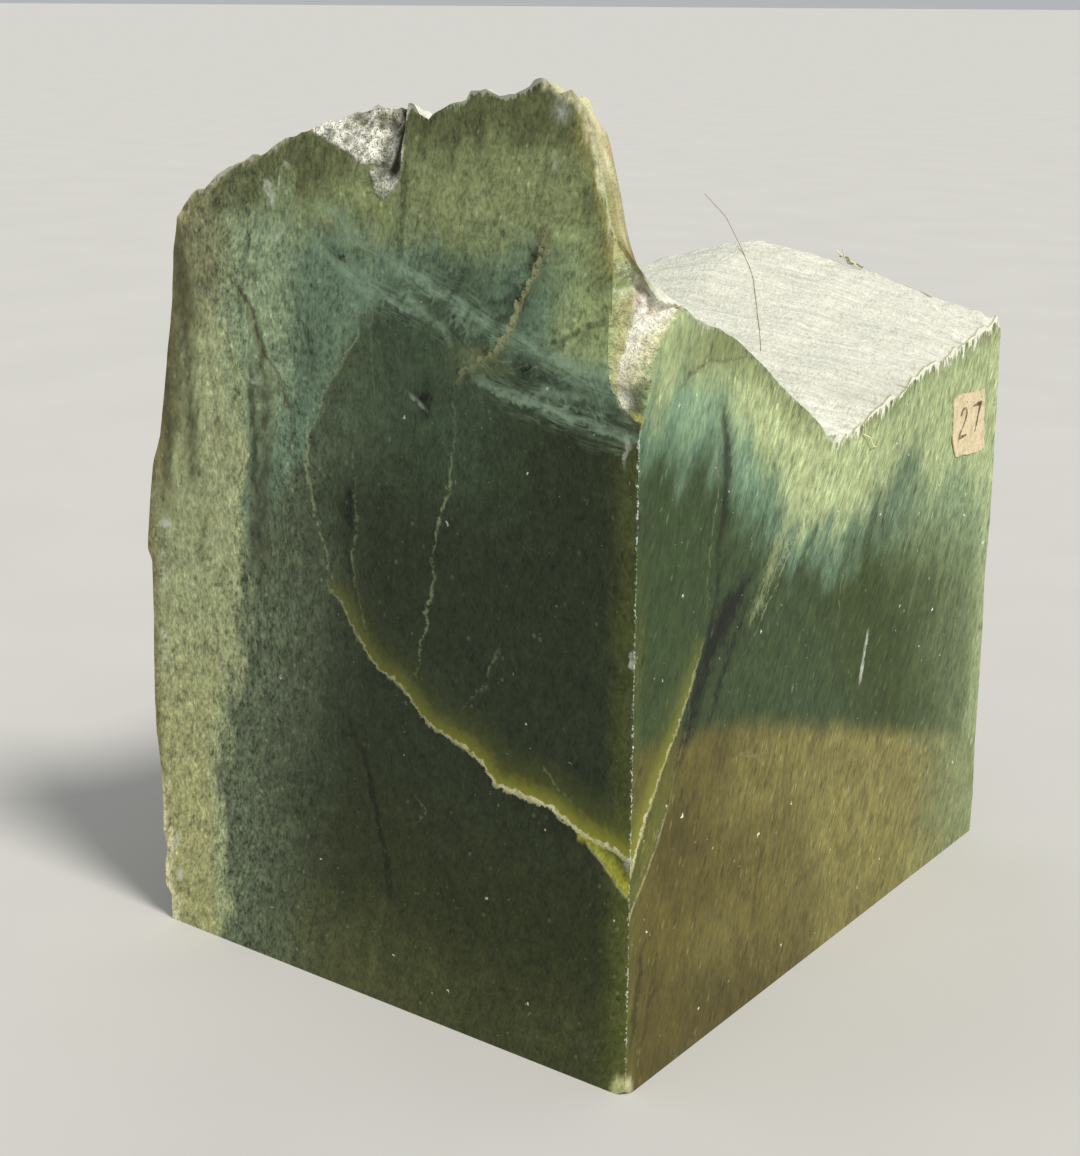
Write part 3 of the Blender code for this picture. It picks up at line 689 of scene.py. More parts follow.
def front_tone(a, z, c):
    """Colour of the sawn front: a dark core, a cloudy upper part that is partly painted glow of light
    coming down through the stone, pale rind and lit edges.
    """
    drift = layered(a, z, 71, 9, 3)
    soft = layered(a * 1.6 + 0.3 * z, z / 2.2, 72, 3.2, 3)
    tone = np.broadcast_to(c["core"], a.shape + (3,))
    tone = mixed(tone, c["core_up"], smooth(66, 88, z + 3 * drift) * smooth(8, 30, a))
    tone = mixed(tone, c["core_low"], smooth(44, 18, z + 3 * soft))
    tone = mixed(tone, c["foot"], smooth(18, 3, z + 3 * soft) * (0.5 + 0.5 * smooth(20, 50, a)))
    inside = a - curve(RIND_EDGE, z)
    tone = mixed(tone, c["blue_green"], smooth(-28, -2, inside + 2 * drift + 1.5 * soft) ** 1.3)
    # Lighter upper part above the core, olive near the crest: partly the stone's colour and partly painted
    # glow of light coming down through the stone from the top.
    above = z - curve(CORE_TOP, a)
    blur = np.interp(a, (0, 30, 42, 53, 60, 84), (3.5, 4, 1.4, 1.2, 6, 8))
    upper = smooth(-blur, blur, above + 0.6 * drift + 0.5 * soft)
    tone = mixed(tone, c["teal"], upper)
    tone = mixed(tone, c["olive"], upper * smooth(103, 112, z + 2 * drift + 1.5 * soft))
    tone = mixed(tone, c["fresh"], upper * smooth(16, 6, a + 3 * drift) * smooth(92, 97, z))
    tone = mixed(tone, c["moss"], smooth(-4, 4, a - curve(MOSS_EDGE, z) + 2 * drift) * smooth(70, 84, z))
    tone = mixed(tone, c["core_up"], 0.85 * spot(a, z, (27, 102), (6, 3.5))
                 + 0.4 * spot(a, z, (20, 99), (5, 3)))
    tone = mixed(tone, c["core_up"], 0.9 * spot(a, z - 0.35 * (a - 30), (30, 98.2), (6, 2.6)))
    tone = mixed(tone, c["core_up"] * 0.85, 0.7 * spot(a, z - 0.2 * (a - 16), (15, 92.6), (8, 1.8)))
    tone = mixed(tone, c["core_up"], 0.35 * spot(a, z, (52, 92), (4, 6)))
    tone = mixed(tone, c["blue_green"], 0.35 * spot(a, z, (44, 86), (6, 9)))
    tone = mixed(tone, c["deep_olive"], smooth(9, 2.5, curve(CREST, a) - z + 2.5 * soft) * smooth(4, 12, a))
    tone = mixed(tone, c["deep_olive"], 0.9 * spot(a, z, (52, 115), (5, 3))
                 + 0.8 * spot(a, z, (63, 110), (6, 2)))
    streaky = layered(a * 2.6, z / 2.4, 73, 2.6, 3)
    tone = mixed(tone, c["rind"], smooth(-2.2, 2.2, inside + 1.2 * drift + 2.2 * streaky))
    tone = mixed(tone, c["tan"] * 0.62, 0.55 * smooth(0.1, 1.2, layered(a * 1.5, z / 1.6, 74, 4.5, 4))
                 * smooth(0, 3, inside))
    tone = mixed(tone, c["rind_low"], smooth(1, 4, inside) * smooth(60, 20, z))
    outer = BLOCK_WIDTH - curve(LEFT_SKIN, z) - a
    tone = mixed(tone, c["rind_up"], smooth(2, 5, inside) * smooth(86, 104, z + 4 * drift))
    tone = mixed(tone, c["rind_up"], 0.8 * smooth(5.5, 1, outer + 3 * soft) * smooth(45, 80, z))
    tone = mixed(tone, c["khaki"], smooth(62, 70, a) * smooth(93, 102, z + 3 * drift)
                 * smooth(112, 106, z + 2 * soft))
    tone = mixed(tone, c["tan"], 0.5 * smooth(70, 74, a) * smooth(103, 107, z) * (0.5 + soft))
    tone = mixed(tone, c["tan"] * 0.6, 0.8 * smooth(1.6, 0.1, outer + 0.8 * soft))
    tone = mixed(tone, c["cream"] * 0.85, 0.9 * smooth(2.4, 0.3, outer + 1.6 * streaky) * smooth(27, 16, z))
    stripes = layered(a * 2.4, z / 8, 75, 2.4, 3)
    tone = mixed(tone, c["deep_olive"] * 0.75,
                 0.6 * smooth(0.1, 1.0, stripes) * smooth(0, 3, inside) * smooth(35, 75, z))
    tone = mixed(tone, c["deep_olive"] * 1.25, 0.75 * spot(a, z, (24, 93.2), (3.6, 1.4)))
    arris = smooth(5.5, 0.4, a + 0.5 * soft) * smooth(92, 82, z)
    tone = mixed(tone, c["glow"], 0.7 * arris * (0.6 + 0.4 * smooth(40, 30, z)))
    tone = mixed(tone, c["rind_low"] * 1.5,
                 0.9 * smooth(1.5, 0.7, np.hypot(a / 1.7, (z - 0.6) / 2.2) + 0.25 * soft))
    tone = flank_tone(tone, a, z, soft, c)
    crest = curve(CREST, a) - z
    tone = mixed(tone, c["cream"] * 0.7, 0.5 * smooth(0.9, 0.1, crest + 0.4 * soft) * smooth(48, 56, a))
    vein = np.interp(a, *np.array([point[:2] for point in VEIN_FRONT[:4]]).T)
    wedge = np.interp(a, *np.array(WEDGE_FRONT).T)
    filled = smooth(-0.2, 0.3, z - wedge) * smooth(0.4, -0.4, z - vein) * (a < 8)
    tone = mixed(tone, c["core"], 0.8 * filled)
    # Yellow along the lower wedge line near the arris: partly stain, partly painted glow.
    return mixed(tone, c["yellow"] * 1.1, filled * smooth(4.6, 0.9, z - wedge + 0.6 * soft))


def flank_tone(tone, a, z, soft, c):
    """Front colours near the crest's right shoulder, where light comes through the thin broken edge."""
    top = smooth(103, 108, z)
    shoulder = np.hypot(np.maximum(a - 2, 0) * 0.9, np.maximum(curve(CREST, a) - z, 0) * 0.16)
    tone = mixed(tone, c["amber"] * 0.72, 0.5 * top * smooth(6, 2, shoulder + 1.5 * soft))
    tone = mixed(tone, c["deep_olive"] * 0.75, 0.8 * spot(a, z, (10.8, 120.6), (2.2, 3)))
    tone = mixed(tone, c["deep_olive"] * 0.7, 0.7 * spot(a, z, (7.2, 112.8), (1.9, 3.6)))
    tone = mixed(tone, c["deep_olive"] * 0.9, 0.5 * spot(a, z, (5.8, 104.4), (1.6, 3.2)))
    tone = mixed(tone, c["amber"] * 1.1, spot(a, z, (8.2, 121.4), (1.4, 2.6)) * (0.8 + 0.5 * soft))
    tone = mixed(tone, c["amber"] * 1.2,
                 spot(a - 0.17 * (z - 110), z, (3.7, 110), (1.1, 4)) * (0.9 + 0.3 * soft))
    tone = mixed(tone, c["frost"], spot(a, z, (11.4, 123.3), (0.9, 1.0)) * (0.6 + 0.6 * soft))
    tone = mixed(tone, c["frost"], spot(a - 0.5 * (z - 116.5), z, (6.0, 116.5), (0.6, 2.4))
                 * (0.6 + 0.7 * soft))
    tone = mixed(tone, c["rust"], 0.7 * spot(a, z, (5.4, 118.4), (0.8, 1.5)) * smooth(-0.4, 0.2, soft))
    edge = curve(CREST, a) - z
    tone = mixed(tone, c["amber"] * 0.8, 0.7 * smooth(9, 3, edge + 3 * soft) * (a < 9) * top)
    pale = (smooth(1.4, 0.2, edge * np.where(a > 9, 1, 0.35) + 0.9 * soft)
            * np.maximum(smooth(108, 112, z), 0.25))
    return mixed(tone, c["cream"], 0.8 * pale * (a < 14) * top)


def right_tone(b, z, c):
    """Colour of the sawn right face: pale under the ledge as painted glow of light coming in through it,
    leaf green below, and brown-olive at the foot as painted reflection.
    """
    drift = layered(b, z, 81, 10, 3)
    soft = layered(b * 1.5 - 0.5 * z, z / 3, 82, 3, 3)
    tone = np.broadcast_to(c["shade"], b.shape + (3,))
    tone = mixed(tone, c["leaf"], smooth(38, 62, b + 4 * drift + 0.5 * (z - 52)))
    tone = mixed(tone, c["sage"], 0.45 * smooth(72, 100, b + 4 * drift + 2 * soft))
    tone = mixed(tone, c["sage"], smooth(64, 88, b + 4 * drift) * smooth(44, 62, z + 3 * soft))
    tone = mixed(tone, c["pale"], 0.5 * smooth(96, 102, b + 1.5 * soft))
    # Painted glow of light coming in through the ledge: pale above the pale foot line, with a turquoise
    # band along its lower edge.
    lift = z - curve(PALE_FOOT, b) + 2.5 * drift + 3.2 * soft
    tone = mixed(tone, c["turquoise"], 0.7 * smooth(-10, -1, lift) * (0.35 + 0.65 * smooth(70, 46, b)))
    tone = mixed(tone, c["pale"], smooth(-3, 8, lift) * (0.74 + 0.26 * smooth(72, 54, b))
                 * (0.78 + 0.22 * smooth(16, 26, b)))
    tone = mixed(tone, c["pale"] * 0.7, 0.35
                 * smooth(0.1, 0.9, layered(b + 0.6 * z, (z - 0.6 * b) / 5, 84, 3, 3))
                 * smooth(-6, 4, lift))
    bright = c["turquoise"] * 1.25
    tone = mixed(tone, bright, 0.7 * spot(b, z, (12, 88), (6, 3))
                 + 0.6 * spot(b - 0.5 * (78 - z), z, (24, 78), (4, 8)))
    tone = mixed(tone, c["turquoise"] * 0.8, 0.5 * spot(b, z, (69, 65), (6, 6)))
    tone = mixed(tone, c["shade"] * 0.8, 0.85 * spot(b + 0.05 * (z - 78), z, (19.8, 77), (1.5, 10)))
    edge = curve(WEDGE_EDGE, b) - z
    tone = mixed(tone, c["broken_olive"],
                 0.7 * smooth(6, 1, edge + 2 * soft) * smooth(12, 20, b) * smooth(48, 40, b))
    tone = mixed(tone, c["broken_olive"], 0.8 * spot(b, z, (18, 95.5), (10, 3.2)))
    ledge = curve(LEDGE_EDGE, b) - z
    tone = mixed(tone, c["broken_olive"], 0.6 * smooth(3, 0.4, ledge + 1.2 * soft) * smooth(49, 54, b))
    # Painted reflection: below the low line the polished face shows a brown surface reflected in it,
    # brown-olive at the front and paler further back.
    low = smooth(2, -2.4, z - curve(LOW_LINE, b) + 0.5 * soft)
    brown = mixed(np.broadcast_to(c["brown_olive"], b.shape + (3,)), c["brown_pale"],
                  smooth(18, 60, b + 0.55 * z - 10 + 5 * drift))
    brown = mixed(brown, c["sage"], 0.65 * smooth(76, 102, b + 3 * drift))
    cloudy = layered(b + 0.5 * z, (z - 0.4 * b) / 2.4, 85, 6, 4)
    brown = brown * (1 + 0.16 * np.clip(cloudy, -1.5, 1.5))[:, None]
    brown = mixed(brown, c["brown_pale"] * 1.15,
                  0.5 * spot(b, z, (27, 34), (6, 4)) + 0.4 * spot(b, z, (22, 14), (7, 5)))
    share = np.clip(low, 0, 1)[:, None]
    tone = tone * (1 - share) + brown * share
    tone = mixed(tone, c["glow"] * 0.8, 0.5 * smooth(3, 0, b) * smooth(78, 60, z))
    tone = mixed(tone, c["cream"] * 0.6,
                 0.9 * smooth(1.3, 0.7, np.hypot(b / 1.5, (z - 0.6) / 2.0) + 0.25 * soft))
    vein = np.interp(b, *np.array([point[:2] for point in VEIN_RIGHT]).T)
    wedge = np.interp(b, *np.array([point[:2] for point in WEDGE_RIGHT]).T)
    filled = smooth(-0.3, 0.5, z - wedge) * smooth(0.4, -0.4, z - vein) * smooth(12, 7, b)
    return mixed(tone, c["vein_olive"], 0.7 * filled)


def broken_tone(x, y, z, side, c):
    """Colour of the broken top, of the chip and the spall, and of the weathered skin; the spall carries
    painted shade.
    """
    a, b = RIGHT - x, y - FRONT
    drift = layered(x, y + z, 91, 8, 3)
    streak = layered((y - 0.2 * x) / 1.0, x / 14, 92, 2.6, 4)
    ledge = mixed(np.broadcast_to(c["chalk"], a.shape + (3,)), c["slate"] * 0.92, 0.02 + 0.45 * streak)
    crumbly = smooth(16, 5, np.hypot(b - 50, a * 0.5)) + smooth(88, 98, b) * smooth(20, 40, a)
    ledge = mixed(ledge, c["chalk"] * 1.15, 0.8 * crumbly)
    ledge = mixed(ledge, c["tan"] * 0.9, 0.4 * crumbly * smooth(0.4, 1.1, layered(x, y, 90, 1.4, 3)))
    on_wedge = smooth(-1, 2.5, wedge_height(x, y, 0) - ledge_height(x, y, 0))
    wedge = mixed(np.broadcast_to(c["sugar"], a.shape + (3,)), c["olive"] * 1.6, 0.35 + 0.35 * drift)
    wedge = mixed(wedge, c["tan"] * 1.3, 0.3 * smooth(0.1, 0.9, layered(x, y, 93, 4, 2)))
    rim = smooth(7, 3, b) * smooth(22, 12, a)
    patch = layered(z, b * 2, 97, 4, 3)
    bright = mixed(np.broadcast_to(c["cream"] * 0.82, a.shape + (3,)), c["tan"] * 0.9,
                   0.7 * smooth(0.0, 0.9, patch))
    bright = mixed(bright, c["amber"] * 0.85,
                   0.85 * smooth(2.2, 1.0, b + 0.8 * drift) * smooth(117, 112, z + 2 * drift))
    bright = mixed(bright, c["amber"] * 0.6, 0.6 * smooth(110, 107, z))
    bright = mixed(bright, c["deep_olive"],
                   0.8 * smooth(0.35, 0.8, layered(z, b, 89, 3, 3)) * smooth(116, 112, z))
    bright = mixed(bright, c["rust"] * 0.9, 0.5 * spot(b, z, (3, 118.5), (3, 3)) * smooth(-0.2, 0.4, drift))
    bright = mixed(bright, c["rust"] * 0.6, 0.7 * spot(a, z, (2.6, 107), (3, 0.5)))
    wedge = mixed(wedge, bright, rim)
    top = mixed(ledge, wedge, on_wedge)
    skin = mixed(np.broadcast_to(c["skin"], a.shape + (3,)), c["tan"] * 1.2, 0.4 + 0.5 * drift)
    skin = mixed(skin, c["olive"], 0.6 * smooth(0, 1.1, layered(x + y, z / 1.6, 94, 14, 4)))
    skin = mixed(skin, c["deep_olive"], 0.45 * smooth(0.3, 1.2, layered(x + y, z, 95, 7, 4)))
    chip = mixed(np.broadcast_to(c["sugar"] * 1.1, a.shape + (3,)), c["tan"],
                 0.45 * smooth(0, 1, layered(b, z, 96, 1.5, 3)))
    chip = mixed(chip, c["fresh"] * 1.2, 0.8 * smooth(102.5, 105, z + drift))
    chip = mixed(chip, c["rust"], 0.8 * spot(b, z, (5.2, 102.2), (1.8, 1.6))
                 * smooth(-0.3, 0.2, layered(b, z, 99, 1, 2)))
    chip = mixed(chip, c["cream"] * 0.8, 0.9 * smooth(-1.5, -0.2, b - curve(CHIP_ON_RIGHT, z)))
    chip = mixed(chip, c["shade"], 0.9 * smooth(94.6, 93, z + drift + 0.4 * a))
    sliver = smooth(-0.85, -0.45, a - curve(CHIP_ON_FRONT, z) + 0.5 * drift) * smooth(104, 102, z)
    chip = mixed(chip, c["amber"] * np.array([1.15, 1.22, 1.15]), 0.8 * sliver)
    chip = mixed(chip, c["sugar"], 0.8 * spot(a, z, (2.9, 90.4), (1.0, 1.2)))
    # Inside the spall: white sugar with dark olive mottle, partly the stone's colour and partly painted
    # shade among the grains.
    hollow = mixed(np.broadcast_to(c["sugar"] * 1.2, a.shape + (3,)), c["deep_olive"] * 0.8,
                   0.2 + 0.75 * layered(a - 0.6 * z, z * 0.6, 98, 1.1, 3))
    # Painted shadow: a dark strip just left of the spall's steep right wall, where its shade falls.
    wall_shadow = smooth(1.7, 0.5, np.abs(a - 37.2)) * smooth(113, 115, z) * smooth(123, 121.6, z)
    hollow = mixed(hollow, c["crack"] * 0.4, wall_shadow)
    hollow = mixed(hollow, c["fresh"], 0.8 * smooth(114, 111.5, z))
    cut = np.where((a > 25)[:, None], hollow, chip)
    return np.select([(side == 5)[:, None], ((side == 0) | (side == 3))[:, None]], [top, skin], cut)


# --- node boards: materials and node groups -------------------------------------------------------
class Board:
    """Lays nodes in one node tree and joins them."""

    def __init__(self, tree):
        self.tree = tree

    def add(self, kind, inputs=None, **settings):
        """New shader node with its settings; inputs are numbers, colours or sockets by name or place."""
        node = self.tree.nodes.new("ShaderNode" + kind)
        for name, value in settings.items():
            setattr(node, name, value)
        for key, value in (inputs or {}).items():
            if isinstance(value, bpy.types.NodeSocket):
                self.tree.links.new(value, node.inputs[key])
            else:
                node.inputs[key].default_value = value
        return node

    def math(self, operation, *values, clamp=False):
        """Result of a Math node."""
        return self.add("Math", dict(enumerate(values)), operation=operation, use_clamp=clamp).outputs[0]

    def mix(self, share, under, over, blend="MIX"):
        """Result of laying one colour over another."""
        inputs = {0: share, 6: under, 7: over}
        return self.add("Mix", inputs, data_type="RGBA", blend_type=blend).outputs[2]

    def rise(self, value, low, high, start=0.0, end=1.0):
        """Smooth change from start to end as the value goes from low to high."""
        inputs = {"Value": value, "From Min": low, "From Max": high, "To Min": start, "To Max": end}
        return self.add("MapRange", inputs, interpolation_type="SMOOTHSTEP").outputs[0]

    def noise(self, place, scale, detail=3.0, roughness=0.55, distortion=0.0):
        """Cloudy noise, about 0.25 to 0.75."""
        inputs = {"Vector": place, "Scale": scale, "Detail": detail, "Roughness": roughness,
                  "Distortion": distortion}
        return self.add("TexNoise", inputs).outputs[0]

    def shift(self, under, value, amount):
        """Number moved up and down by a noise value: amount times (value - 0.5)."""
        return self.math("MULTIPLY_ADD", self.math("SUBTRACT", value, 0.5), amount, under)

    def parts(self, vector):
        """The three numbers of a vector."""
        return self.add("SeparateXYZ", {0: vector}).outputs

    def attribute(self, name, output="Vector"):
        """A value that the mesh carries."""
        return self.add("Attribute", attribute_name=name).outputs[output]

    def place(self):
        """Object coordinates in millimetres."""
        coordinates = self.add("TexCoord").outputs["Object"]
        return self.add("VectorMath", {0: coordinates, "Scale": 1 / MM}, operation="SCALE").outputs[0]

    def times(self, colour, factor):
        """A colour made lighter or darker by a number."""
        return self.add("VectorMath", {0: colour, "Scale": factor}, operation="SCALE").outputs[0]

    def group(self, name, **inputs):
        """A node group placed here with its own values."""
        node = self.add("Group")
        node.node_tree = bpy.data.node_groups[name]
        for key, value in inputs.items():
            socket = node.inputs[key.replace("_", " ").capitalize()]
            if isinstance(value, bpy.types.NodeSocket):
                self.tree.links.new(value, socket)
            else:
                socket.default_value = value
        return node


def start_group(name, inputs, outputs):
    """New node group with these sockets; returns its board, its input node and its output node."""
    tree = bpy.data.node_groups.new(name, "ShaderNodeTree")
    for socket, kind, value in inputs:
        made = tree.interface.new_socket(name=socket, in_out="INPUT", socket_type="NodeSocket" + kind)
        if value is not None:
            made.default_value = value
    for socket, kind in outputs:
        tree.interface.new_socket(name=socket, in_out="OUTPUT", socket_type="NodeSocket" + kind)
    board = Board(tree)
    return board, tree.nodes.new("NodeGroupInput").outputs, tree.nodes.new("NodeGroupOutput").inputs


def make_felt_group():
    """Felted fibres: noise drawn out along the grain in two sizes.

    Grain is (across, along, contrast). Shade is near 1, lighter and darker with the contrast.
    """
    board, given, gives = start_group(
        "stone_felt",
        [("Grain", "Vector", None), ("Width", "Float", 0.5), ("Stretch", "Float", 4.0)],
        [("Shade", "Float"), ("Fine", "Float")])
    across, along, contrast = board.parts(given["Grain"])
    slow = board.add("CombineXYZ", {0: across, 1: board.math("DIVIDE", along, 3.0)}).outputs[0]
    across = board.shift(across, board.noise(slow, 0.16, 2.0, 0.5), 3.0)
    u = board.math("DIVIDE", across, given["Width"])
    v = board.math("DIVIDE", board.math("DIVIDE", along, given["Width"]), given["Stretch"])
    flat = board.add("CombineXYZ", {0: u, 1: v}).outputs[0]
    coarse = board.noise(flat, 0.4, 4.0, 0.6, 0.2)
    fine = board.noise(flat, 1.1, 3.0, 0.7)
    both = board.shift(board.math("MULTIPLY", board.math("SUBTRACT", coarse, 0.5), 3.0), fine, 4.0)
    shade = board.math("MAXIMUM", board.math("MULTIPLY_ADD", both, contrast, 1.0), 0.25)
    board.tree.links.new(shade, gives["Shade"])
    board.tree.links.new(fine, gives["Fine"])


def make_fleck_group():
    """Small separate specks: a random few cells of a cell pattern, each a soft dot of its own size."""
    board, given, gives = start_group(
        "stone_flecks",
        [("Place", "Vector", None), ("Size", "Float", 1.0), ("Share", "Float", 0.1),
         ("Reach", "Float", 0.3)],
        [("Mask", "Float"), ("Tint", "Float")])
    scaled = board.times(given["Place"], board.math("DIVIDE", 1.0, given["Size"]))
    cells = board.add("TexVoronoi", {"Vector": scaled, "Scale": 1.0})
    red, green, blue = board.add("SeparateColor", {0: cells.outputs["Color"]}).outputs
    chosen = board.math("LESS_THAN", red, given["Share"])
    reach = board.math("MULTIPLY", given["Reach"], board.math("MULTIPLY_ADD", blue, 0.9, 0.3))
    dot = board.math("SUBTRACT", 1.0, board.math("DIVIDE", cells.outputs["Distance"], reach), clamp=True)
    strength = board.math("MULTIPLY", chosen, board.math("MULTIPLY_ADD", green, 0.7, 0.3))
    board.tree.links.new(board.math("MULTIPLY", strength, board.rise(dot, 0.0, 0.5)), gives["Mask"])
    board.tree.links.new(green, gives["Tint"])


def make_trace_group():
    """A line in the stone: its ragged core, and stains that fade to its left and to its right.

    Trace is (signed distance in millimetres, distance along, strength). The distance is pushed to
    and fro by noise, and the line is where it stays under the width, which goes with the strength.
    Gaps breaks the line up.
    """
    board, given, gives = start_group(
        "stone_trace",
        [("Trace", "Vector", None), ("Place", "Vector", None), ("Width", "Float", 0.3),
         ("Ragged", "Float", 0.4),
         ("Soft", "Float", 0.3), ("Stain", "Float", 6.0), ("Gaps", "Float", 0.0), ("Wander", "Float", 0.0)],
        [("Line", "Float"), ("Left stain", "Float"), ("Right stain", "Float")])
    apart, _, life = board.parts(given["Trace"])
    rough = board.noise(given["Place"], 1.1, 4.0, 0.7)
    pushed = board.math("MULTIPLY_ADD", board.math("SUBTRACT", rough, 0.5),
                        board.math("MULTIPLY", given["Ragged"], 2.0), apart)
    drift = board.noise(given["Place"], 0.28, 2.0)
    pushed = board.math("MULTIPLY_ADD", board.math("SUBTRACT", drift, 0.5), given["Wander"], pushed)
    gap = board.math("ABSOLUTE", pushed)
    patchy = board.noise(given["Place"], 0.45, 3.0, 0.6)
    swell = board.math("MULTIPLY", given["Width"], board.rise(patchy, 0.3, 0.7, 0.3, 1.6))
    swell = board.math("MULTIPLY", swell, life)
    line = board.rise(gap, swell, board.math("ADD", swell, given["Soft"]), 1.0, 0.0)
    broken = board.math("SUBTRACT", 1.0,
                        board.math("MULTIPLY", given["Gaps"], board.rise(rough, 0.42, 0.6)))
    line = board.math("MULTIPLY", line, broken)
    left = board.math("MULTIPLY", board.rise(pushed, 0.0, given["Stain"], 1.0, 0.0),
                      board.rise(pushed, -0.3, 0.1))
    right = board.math("MULTIPLY",
                       board.rise(board.math("MULTIPLY", pushed, -1.0), 0.0, given["Stain"], 1.0, 0.0),
                       board.rise(pushed, -0.1, 0.3, 1.0, 0.0))
    shown = board.math("MULTIPLY", life, 1.0, clamp=True)
    for value, name in ((line, "Line"), (left, "Left stain"), (right, "Right stain")):
        board.tree.links.new(board.math("MULTIPLY", value, shown), gives[name])


def make_crumb_group():
    """Sugary break: grains of three sizes, as a height and as a light and dark mottle."""
    board, given, gives = start_group(
        "stone_crumbs",
        [("Place", "Vector", None), ("Size", "Float", 1.0)],
        [("Height", "Float"), ("Light", "Float"), ("Cloud", "Float")])
    scaled = board.times(given["Place"], board.math("DIVIDE", 1.0, given["Size"]))
    cells = board.add("TexVoronoi", {"Vector": scaled, "Scale": 1.6, "Randomness": 1.0}).outputs["Distance"]
    cloud = board.noise(scaled, 0.8, 5.0, 0.7)
    fine = board.noise(scaled, 3.4, 3.0, 0.7)
    height = board.math("ADD", board.math("MULTIPLY", cloud, 1.2), board.math("MULTIPLY", cells, -0.35))
    height = board.math("MULTIPLY_ADD", fine, 0.4, height)
    board.tree.links.new(height, gives["Height"])
    board.tree.links.new(board.rise(fine, 0.3, 0.7), gives["Light"])
    board.tree.links.new(cloud, gives["Cloud"])


def start_material(name, roughness, specular):
    """New material with a Principled shader; the specular level is the same all over."""
    material = bpy.data.materials.new(name)
    material.use_nodes = True
    board = Board(material.node_tree)
    shader = material.node_tree.nodes["Principled BSDF"]
    shader.inputs["Roughness"].default_value = roughness
    shader.inputs["Specular IOR Level"].default_value = specular
    return material, board, shader


def colour4(value):
    """A colour with its fourth number."""
    return (*(float(part) for part in value), 1.0)


def finish_surface(board, shader, colour, roughness, height, depth):
    """Join a material's colour, roughness and bump; depth is the height's real size in metres."""
    bump = board.add("Bump", {"Height": height, "Distance": depth, "Strength": 1.0})
    for value, name in ((colour, "Base Color"), (roughness, "Roughness"), (bump.outputs[0], "Normal")):
        board.tree.links.new(value, shader.inputs[name])


def add_flecks(board, place, grain, colour, c):
    """Lay pale flecks, dark strokes and white sparkles over a sawn colour."""
    pale_share, dark_share, bright_share = board.parts(board.attribute("speckle"))
    across, along, _ = board.parts(grain)
    drawn = board.add("CombineXYZ", {0: across, 1: board.math("DIVIDE", along, 2.6)}).outputs[0]
    pale = board.group("stone_flecks", place=drawn, size=0.75, share=pale_share, reach=0.34)
    lighter = board.mix(0.2, board.times(colour, 1.9), colour4(c["cloud"] * 0.8))
    colour = board.mix(board.math("MULTIPLY", pale.outputs["Mask"], 0.8), colour, lighter)
    strokes = board.group("stone_flecks", place=drawn, size=1.15, share=dark_share, reach=0.34)
    colour = board.mix(board.math("MULTIPLY", strokes.outputs["Mask"], 0.75), colour,
                       board.times(colour, 0.45))
    push = board.add("TexNoise", {"Vector": place, "Scale": 1.6, "Detail": 3.0}).outputs["Color"]
    ragged = board.add("VectorMath", {0: place, 1: board.times(push, 1.4)}, operation="ADD").outputs[0]
    small = board.group("stone_flecks", place=ragged, size=1.3, share=bright_share, reach=0.13)
    colour = board.mix(board.math("MULTIPLY", small.outputs["Mask"], 0.75), colour,
                       colour4(c["frost"] * 0.7))
    large = board.group("stone_flecks", place=ragged, size=3.3, share=bright_share, reach=0.09)
    return board.mix(board.math("MULTIPLY", large.outputs["Mask"], 1.4, clamp=True), colour,
                     colour4(c["sugar"]))


def add_wisps(board, place, colour, c):
    """Lay the soft band of pale turquoise wisps over a sawn colour."""
    gap, along, life = board.parts(board.attribute("streaks"))
    across = board.math("DIVIDE", gap, 0.8)
    drawn = board.add("CombineXYZ", {0: board.math("DIVIDE", along, 4.5), 1: across}).outputs[0]
    wisp = board.rise(board.noise(drawn, 0.8, 5.0, 0.7, 1.6), 0.42, 0.68)
    ragged = board.shift(gap, board.noise(place, 0.35, 4.0), 6.0)
    near = board.rise(board.math("ABSOLUTE", ragged), 0.3, 4.0, 1.0, 0.0)
    share = board.math("MULTIPLY", board.math("MULTIPLY", wisp, near), life)
    colour = board.mix(board.math("MULTIPLY", share, 0.55), colour, colour4(c["cloud"] * 0.95))
    threads = board.group("stone_trace", trace=board.attribute("wisps"), place=place, width=0.2, ragged=0.9,
                          soft=0.9, stain=1.6, gaps=0.5, wander=2.2).outputs
    colour = board.mix(board.math("MULTIPLY", threads["Right stain"], 0.35), colour,
                       board.times(colour, 0.7))
    return board.mix(board.math("MULTIPLY", threads["Line"], 0.6), colour, colour4(c["cloud"] * 1.1))


def add_patches(board, place, fine, colour, c):
    """Lay brown, pale and nearly black patches over a sawn colour, their edges frayed along the fibres."""
    ink, ray, brown = board.parts(board.attribute("patches"))
    lumpy = board.noise(place, 0.55, 4.0, 0.7)
    for inner, fray, amount, over in ((brown, 6.0, 0.85, c["tan"] * 0.16), (ray, 5.0, 0.7, c["pale"] * 0.8),
                                      (ink, 7.0, 0.94, c["ink"])):
        frayed = board.shift(board.shift(inner, fine, fray), lumpy, fray * 0.6)
        colour = board.mix(board.math("MULTIPLY", board.rise(frayed, -1.4, 1.5), amount), colour,
                           colour4(over))
    return colour


